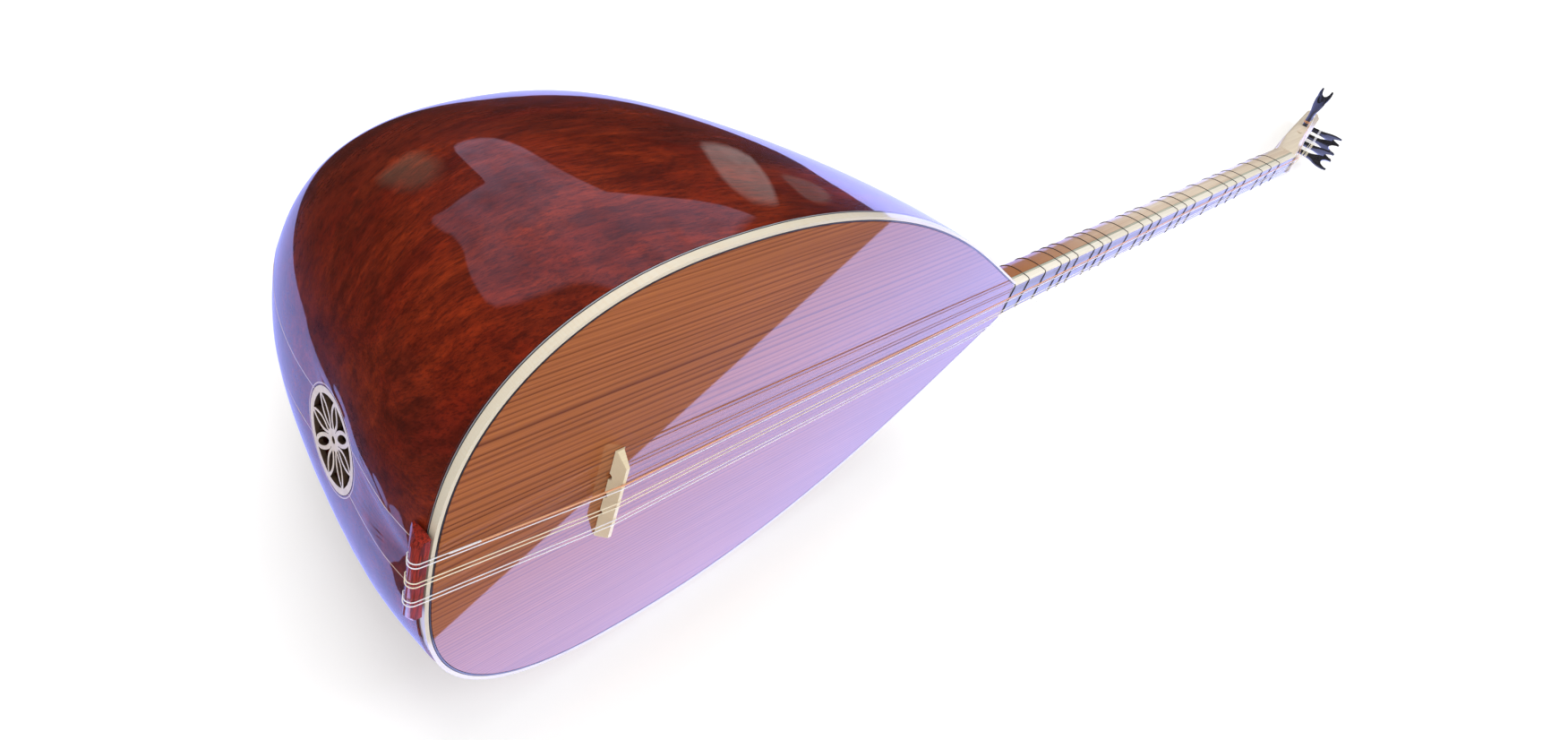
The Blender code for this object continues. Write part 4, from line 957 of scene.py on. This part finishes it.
def plain_emitter(name, rgb, strength, far_strength=None):
    """A glowing surface, even or stronger towards the head."""
    material = bpy.data.materials.new(name)
    material.use_nodes = True
    recipe = Recipe(material.node_tree)
    recipe.tree.nodes.clear()
    if far_strength is not None:
        place = recipe.node("SeparateXYZ", {0: recipe.node("TexCoord").outputs["Object"]})
        strength = recipe.node("MapRange", {"Value": place.outputs["X"], 1: -0.45, 2: 0.45,
                                            3: strength, 4: far_strength}).outputs[0]
    glow = recipe.node("Emission", {"Color": (*rgb, 1.0), "Strength": strength})
    recipe.node("OutputMaterial", {"Surface": glow.outputs[0]})
    return material


def stage_piece(name, work, material):
    """A stage object from a bmesh."""
    mesh = bpy.data.meshes.new(name)
    work.to_mesh(mesh)
    work.free()
    piece = bpy.data.objects.new(name, mesh)
    bpy.context.scene.collection.objects.link(piece)
    mesh.materials.append(material)
    return piece


def soft_emitter(name, rgb, strength):
    """A glowing surface that fades out where its glow value falls to nothing."""
    material = bpy.data.materials.new(name)
    material.use_nodes = True
    recipe = Recipe(material.node_tree)
    recipe.tree.nodes.clear()
    shape = recipe.node("Attribute", attribute_name="glow").outputs["Fac"]
    cloud = recipe.noise(recipe.node("TexCoord").outputs["Object"], 3.0, 4.0)
    cover = recipe.math("MULTIPLY", shape, recipe.math("MULTIPLY_ADD", cloud, 1.4, 0.2),
                        clamp=True)
    glow = recipe.node("Emission", {"Color": (*rgb, 1.0), "Strength": strength})
    clear = recipe.node("BsdfTransparent")
    both = recipe.node("MixShader", {0: cover, 1: clear.outputs[0], 2: glow.outputs[0]})
    recipe.node("OutputMaterial", {"Surface": both.outputs[0]})
    return material


def cut_corners(corners, rounds=2):
    """An outline with its corners cut off, which makes it rounder."""
    points = [Vector(corner) for corner in corners]
    for _ in range(rounds):
        following = points[1:] + points[:1]
        points = [here.lerp(after, part) for here, after in zip(points, following)
                  for part in (0.25, 0.75)]
    return points


def mirror_card(name, corners, material, core=1.0):
    """A flat card that only glossy surfaces see; outside its core its glow falls to nothing."""
    work = bmesh.new()
    glow = work.verts.layers.float.new("glow")
    centre = sum(corners, Vector()) / len(corners)
    outer = [work.verts.new(corner) for corner in corners]
    if core < 1.0:
        inner = [work.verts.new(centre.lerp(corner, core)) for corner in corners]
        middle = work.verts.new(centre)
        middle[glow] = 1.0
        for i, vert in enumerate(inner):
            vert[glow] = 1.0
            work.faces.new((outer[i - 1], outer[i], vert, inner[i - 1]))
            work.faces.new((inner[i - 1], vert, middle))
    else:
        work.faces.new(outer)
    piece = stage_piece(name, work, material)
    piece.visible_camera = piece.visible_diffuse = piece.visible_shadow = False
    piece.visible_transmission = piece.visible_volume_scatter = False
    return piece


def soft_lamp(name, place, target, size, power, rgb=(1.0, 1.0, 1.0), glossy=False):
    """A large square lamp aimed at a point."""
    lamp = bpy.data.lights.new(name, "AREA")
    lamp.shape, lamp.size = "SQUARE", size
    lamp.energy, lamp.color = power, rgb
    spot = bpy.data.objects.new(name, lamp)
    bpy.context.scene.collection.objects.link(spot)
    spot.location = place
    spot.rotation_euler = (Vector(target) - Vector(place)).to_track_quat("-Z", "Y").to_euler()
    spot.visible_glossy = glossy
    return spot


def studio_world(level):
    """Even pale light: white to the camera, dimmer and bluer in reflections."""
    world = bpy.data.worlds.new("Studio")
    world.use_nodes = True
    recipe = Recipe(world.node_tree)
    recipe.tree.nodes.clear()
    light_path = recipe.node("LightPath").outputs
    even = recipe.node("Background", {"Color": (1.0, 1.0, 1.0, 1.0), "Strength": level})
    height = recipe.node("SeparateXYZ", {0: recipe.node("TexCoord").outputs["Generated"]})
    rise = recipe.node("MapRange", {"Value": height.outputs["Z"], 1: -0.1, 2: 1.0, 3: 0.006,
                                    4: 0.05}, interpolation_type="SMOOTHSTEP")
    mirrored = recipe.node("Background", {"Color": (0.75, 0.78, 1.0, 1.0),
                                          "Strength": rise.outputs[0]})
    seen = recipe.node("Background", {"Color": (1.0, 1.0, 1.0, 1.0), "Strength": 1.0})
    first = recipe.node("MixShader", {0: light_path["Is Glossy Ray"], 1: even.outputs[0],
                                      2: mirrored.outputs[0]})
    second = recipe.node("MixShader", {0: light_path["Is Camera Ray"], 1: first.outputs[0],
                                       2: seen.outputs[0]})
    recipe.node("OutputWorld", {"Surface": second.outputs[0]})
    bpy.context.scene.world = world


def floor_finish(rgb, lift):
    """Plain pale floor, lifted to white for the camera alone; it keeps its shadow."""
    f = Finish("floor")
    seen = f.node("LightPath").outputs["Is Camera Ray"]
    away = f.node("VectorMath", {0: f.node("TexCoord").outputs["Object"]}, operation="LENGTH")
    fade = f.node("MapRange", {"Value": away.outputs["Value"], 1: 1.2, 2: 5.0, 3: lift, 4: 0.95},
                  interpolation_type="SMOOTHSTEP")
    return f.set(Base_Color=tuple(rgb), Roughness=0.9, Specular_IOR_Level=0.1,
                 Emission_Color=(1.0, 1.0, 1.0),
                 Emission_Strength=f.math("MULTIPLY", seen, fade.outputs[0]))


# Outline of the card behind the bowl, on the floor.
SHEEN_BACK = ((-0.72, -0.13), (0.60, -0.13), (0.95, 0.30), (0.95, 0.65), (0.81, 0.63),
              (0.68, 0.61), (0.25, 0.42), (0.08, 0.40), (-0.06, 0.42), (-0.14, 0.52),
              (-0.258, 0.532), (-0.408, 0.411), (-0.493, 0.365), (-0.542, 0.340),
              (-0.589, 0.358), (-0.650, 0.360), (-0.686, 0.347), (-0.722, 0.330),
              (-0.768, 0.293), (-0.792, 0.247), (-0.781, 0.185), (-0.776, 0.147),
              (-0.761, 0.112), (-0.747, 0.074), (-0.736, 0.052), (-0.736, 0.036),
              (-0.762, 0.026), (-0.781, 0.015), (-0.796, 0.0), (-0.823, -0.014),
              (-0.827, -0.032), (-0.789, -0.052), (-0.738, -0.060))
# Corners of soft cards that the varnish of the bowl mirrors, with their level, core and colour.
BOWL_CARDS = {
    "patch": (1.05, 0.95, (0.66, 0.57, 0.84), (
        (-0.94, 1.64, 0.65), (-0.77, 1.69, 0.74), (-0.57, 1.76, 0.77), (-0.31, 1.82, 0.78),
        (-0.26, 1.83, 0.76), (-0.21, 1.91, 0.56), (-0.13, 1.98, 0.29), (-0.02, 1.99, 0.23),
        (0.17, 1.98, 0.24), (0.27, 1.94, 0.39), (0.32, 1.86, 0.66), (0.37, 1.78, 0.83),
        (0.48, 1.68, 0.97), (0.60, 1.58, 1.08), (0.71, 1.51, 1.11), (0.94, 1.40, 1.08),
        (1.23, 1.34, 0.83), (1.08, 1.35, 1.00), (0.85, 1.30, 1.25), (0.45, 1.30, 1.50),
        (0.0, 1.22, 1.62), (-0.58, 1.23, 1.47), (-0.86, 1.15, 1.39), (-1.13, 1.08, 1.25),
        (-1.21, 1.06, 1.19), (-1.35, 1.04, 1.05), (-1.24, 1.23, 0.98), (-1.13, 1.35, 0.95),
        (-1.02, 1.45, 0.93), (-0.95, 1.55, 0.83), (-0.98, 1.56, 0.78))),
    "haze": (0.85, 0.80, (1.0, 0.86, 0.84), (
        (0.75, 1.05, 0.002), (1.0, 1.15, 0.002), (1.40, 1.43, 0.06), (1.42, 1.36, 0.37),
        (1.39, 1.32, 0.59), (1.35, 1.31, 0.67), (1.25, 1.36, 0.77), (1.21, 1.39, 0.78),
        (1.16, 1.48, 0.68), (1.16, 1.56, 0.44), (1.10, 1.55, 0.10))),
    "far_haze": (0.36, 0.75, (1.0, 0.80, 0.74), (
        (1.45, 1.37, 0.12), (1.20, 0.96, 0.002), (1.63, 1.16, 0.08), (1.59, 1.18, 0.26),
        (1.53, 1.24, 0.38), (1.49, 1.30, 0.32))),
    "window": (0.35, 0.55, (1.0, 0.85, 0.62), (
        (-0.82, 2.02, 0.02), (-0.53, 2.04, 0.07), (-0.24, 2.01, 0.07), (-0.25, 1.98, 0.47),
        (-0.55, 1.97, 0.64), (-0.88, 1.98, 0.47))),
}


class SAZ_OT_studio(bpy.types.Operator):
    """Make the floor, the lamps, the mirrored cards and the camera"""
    bl_idname = "saz.studio"
    bl_label = "Studio"

    def execute(self, context):
        studio = context.scene.saz_studio
        context.scene.view_settings.view_transform = "Standard"
        studio_world(studio.sky_light)
        work = bmesh.new()
        bmesh.ops.create_circle(work, cap_ends=True, segments=96, radius=FLOOR_REACH)
        stage_piece("floor", work, floor_finish(studio.floor_colour, 0.12))
        edge = lambda x: -0.403 - 0.252 * x
        far = FLOOR_REACH
        mirror_card("dim_floor", [Vector((x, y, 0.0004)) for x, y in
                                  ((-far, -far), (far, -far), (far, far), (-far, far))],
                    plain_emitter("dim", (0.022, 0.018, 0.018), 1.0))
        tone = tuple(studio.sheen_colour)
        mirror_card("sheen_front", [Vector((x, y, 0.0008)) for x, y in
                                    ((-0.95, edge(-0.95)), (1.2, edge(1.2)), (1.2, -0.12),
                                     (-0.95, -0.12))],
                    plain_emitter("sheen front", tuple(studio.board_sheen), 3.85))
        mirror_card("sheen_back", cut_corners([(x, y, 0.0006) for x, y in SHEEN_BACK], 1),
                    plain_emitter("sheen back", tone, 1.45, 3.0))
        for name, (level, core, rgb, corners) in BOWL_CARDS.items():
            mirror_card(name, cut_corners(corners, 1), soft_emitter(name, rgb, level), core)
        soft_lamp("key", (-1.6, -1.9, 2.2), (-0.3, 0.0, 0.15), 1.6, studio.key_power)
        soft_lamp("top", (-0.2, 1.2, 2.6), (0.0, 0.0, 0.15), 2.0, studio.top_power)
        soft_lamp("fill", (1.6, -1.6, 1.8), (-0.1, 0.0, 0.1), 1.6, studio.fill_power)
        camera = bpy.data.cameras.new("camera")
        camera.sensor_width, camera.lens = 36.0, studio.lens
        camera.shift_x, camera.shift_y = CAMERA_SHIFT
        camera.clip_start, camera.clip_end = 0.01, 100.0
        view = bpy.data.objects.new("camera", camera)
        context.scene.collection.objects.link(view)
        turn = PLACE.to_3x3()
        right, down = turn @ CAMERA_RIGHT, turn @ CAMERA_DOWN
        right.normalize()
        down = (down - right * right.dot(down)).normalized()
        back_axis = right.cross(-down)
        view.matrix_world = Matrix.Translation(PLACE @ CAMERA_SPOT) @ Matrix(
            (right, -down, back_axis)).transposed().to_4x4()
        context.scene.camera = view
        return {"FINISHED"}


OPERATORS = (SAZ_OT_studio, SAZ_OT_bowl, SAZ_OT_soundboard, SAZ_OT_rosette, SAZ_OT_string_seats,
             SAZ_OT_neck, SAZ_OT_frets, SAZ_OT_pegs, SAZ_OT_strings)


class SAZ_PT_panel(bpy.types.Panel):
    """Lists the pieces of the saz and their settings"""
    bl_label = "Divan Saz"
    bl_idname = "SAZ_PT_panel"
    bl_space_type = "VIEW_3D"
    bl_region_type = "UI"
    bl_category = "Saz"

    def draw(self, context):
        for operator in OPERATORS:
            self.layout.operator(operator.bl_idname)
        for group in (context.scene.saz_woods, context.scene.saz_details,
                      context.scene.saz_studio):
            column = self.layout.column()
            for key in group.__annotations__:
                column.prop(group, key)


GROUPS = {"saz_woods": SazWoods, "saz_details": SazDetails, "saz_studio": SazStudio}


def register():
    """Registers the classes and hangs the settings on the scene."""
    for made in (*GROUPS.values(), *OPERATORS, SAZ_PT_panel):
        bpy.utils.register_class(made)
    for key, group in GROUPS.items():
        setattr(bpy.types.Scene, key, PointerProperty(type=group))


def unregister():
    """Takes the settings and the classes away again."""
    for key in GROUPS:
        delattr(bpy.types.Scene, key)
    for made in reversed((*GROUPS.values(), *OPERATORS, SAZ_PT_panel)):
        bpy.utils.unregister_class(made)


def main():
    register()
    for operator in OPERATORS:
        group, name = operator.bl_idname.split(".")
        getattr(getattr(bpy.ops, group), name)()


if __name__ == "__main__":
    main()
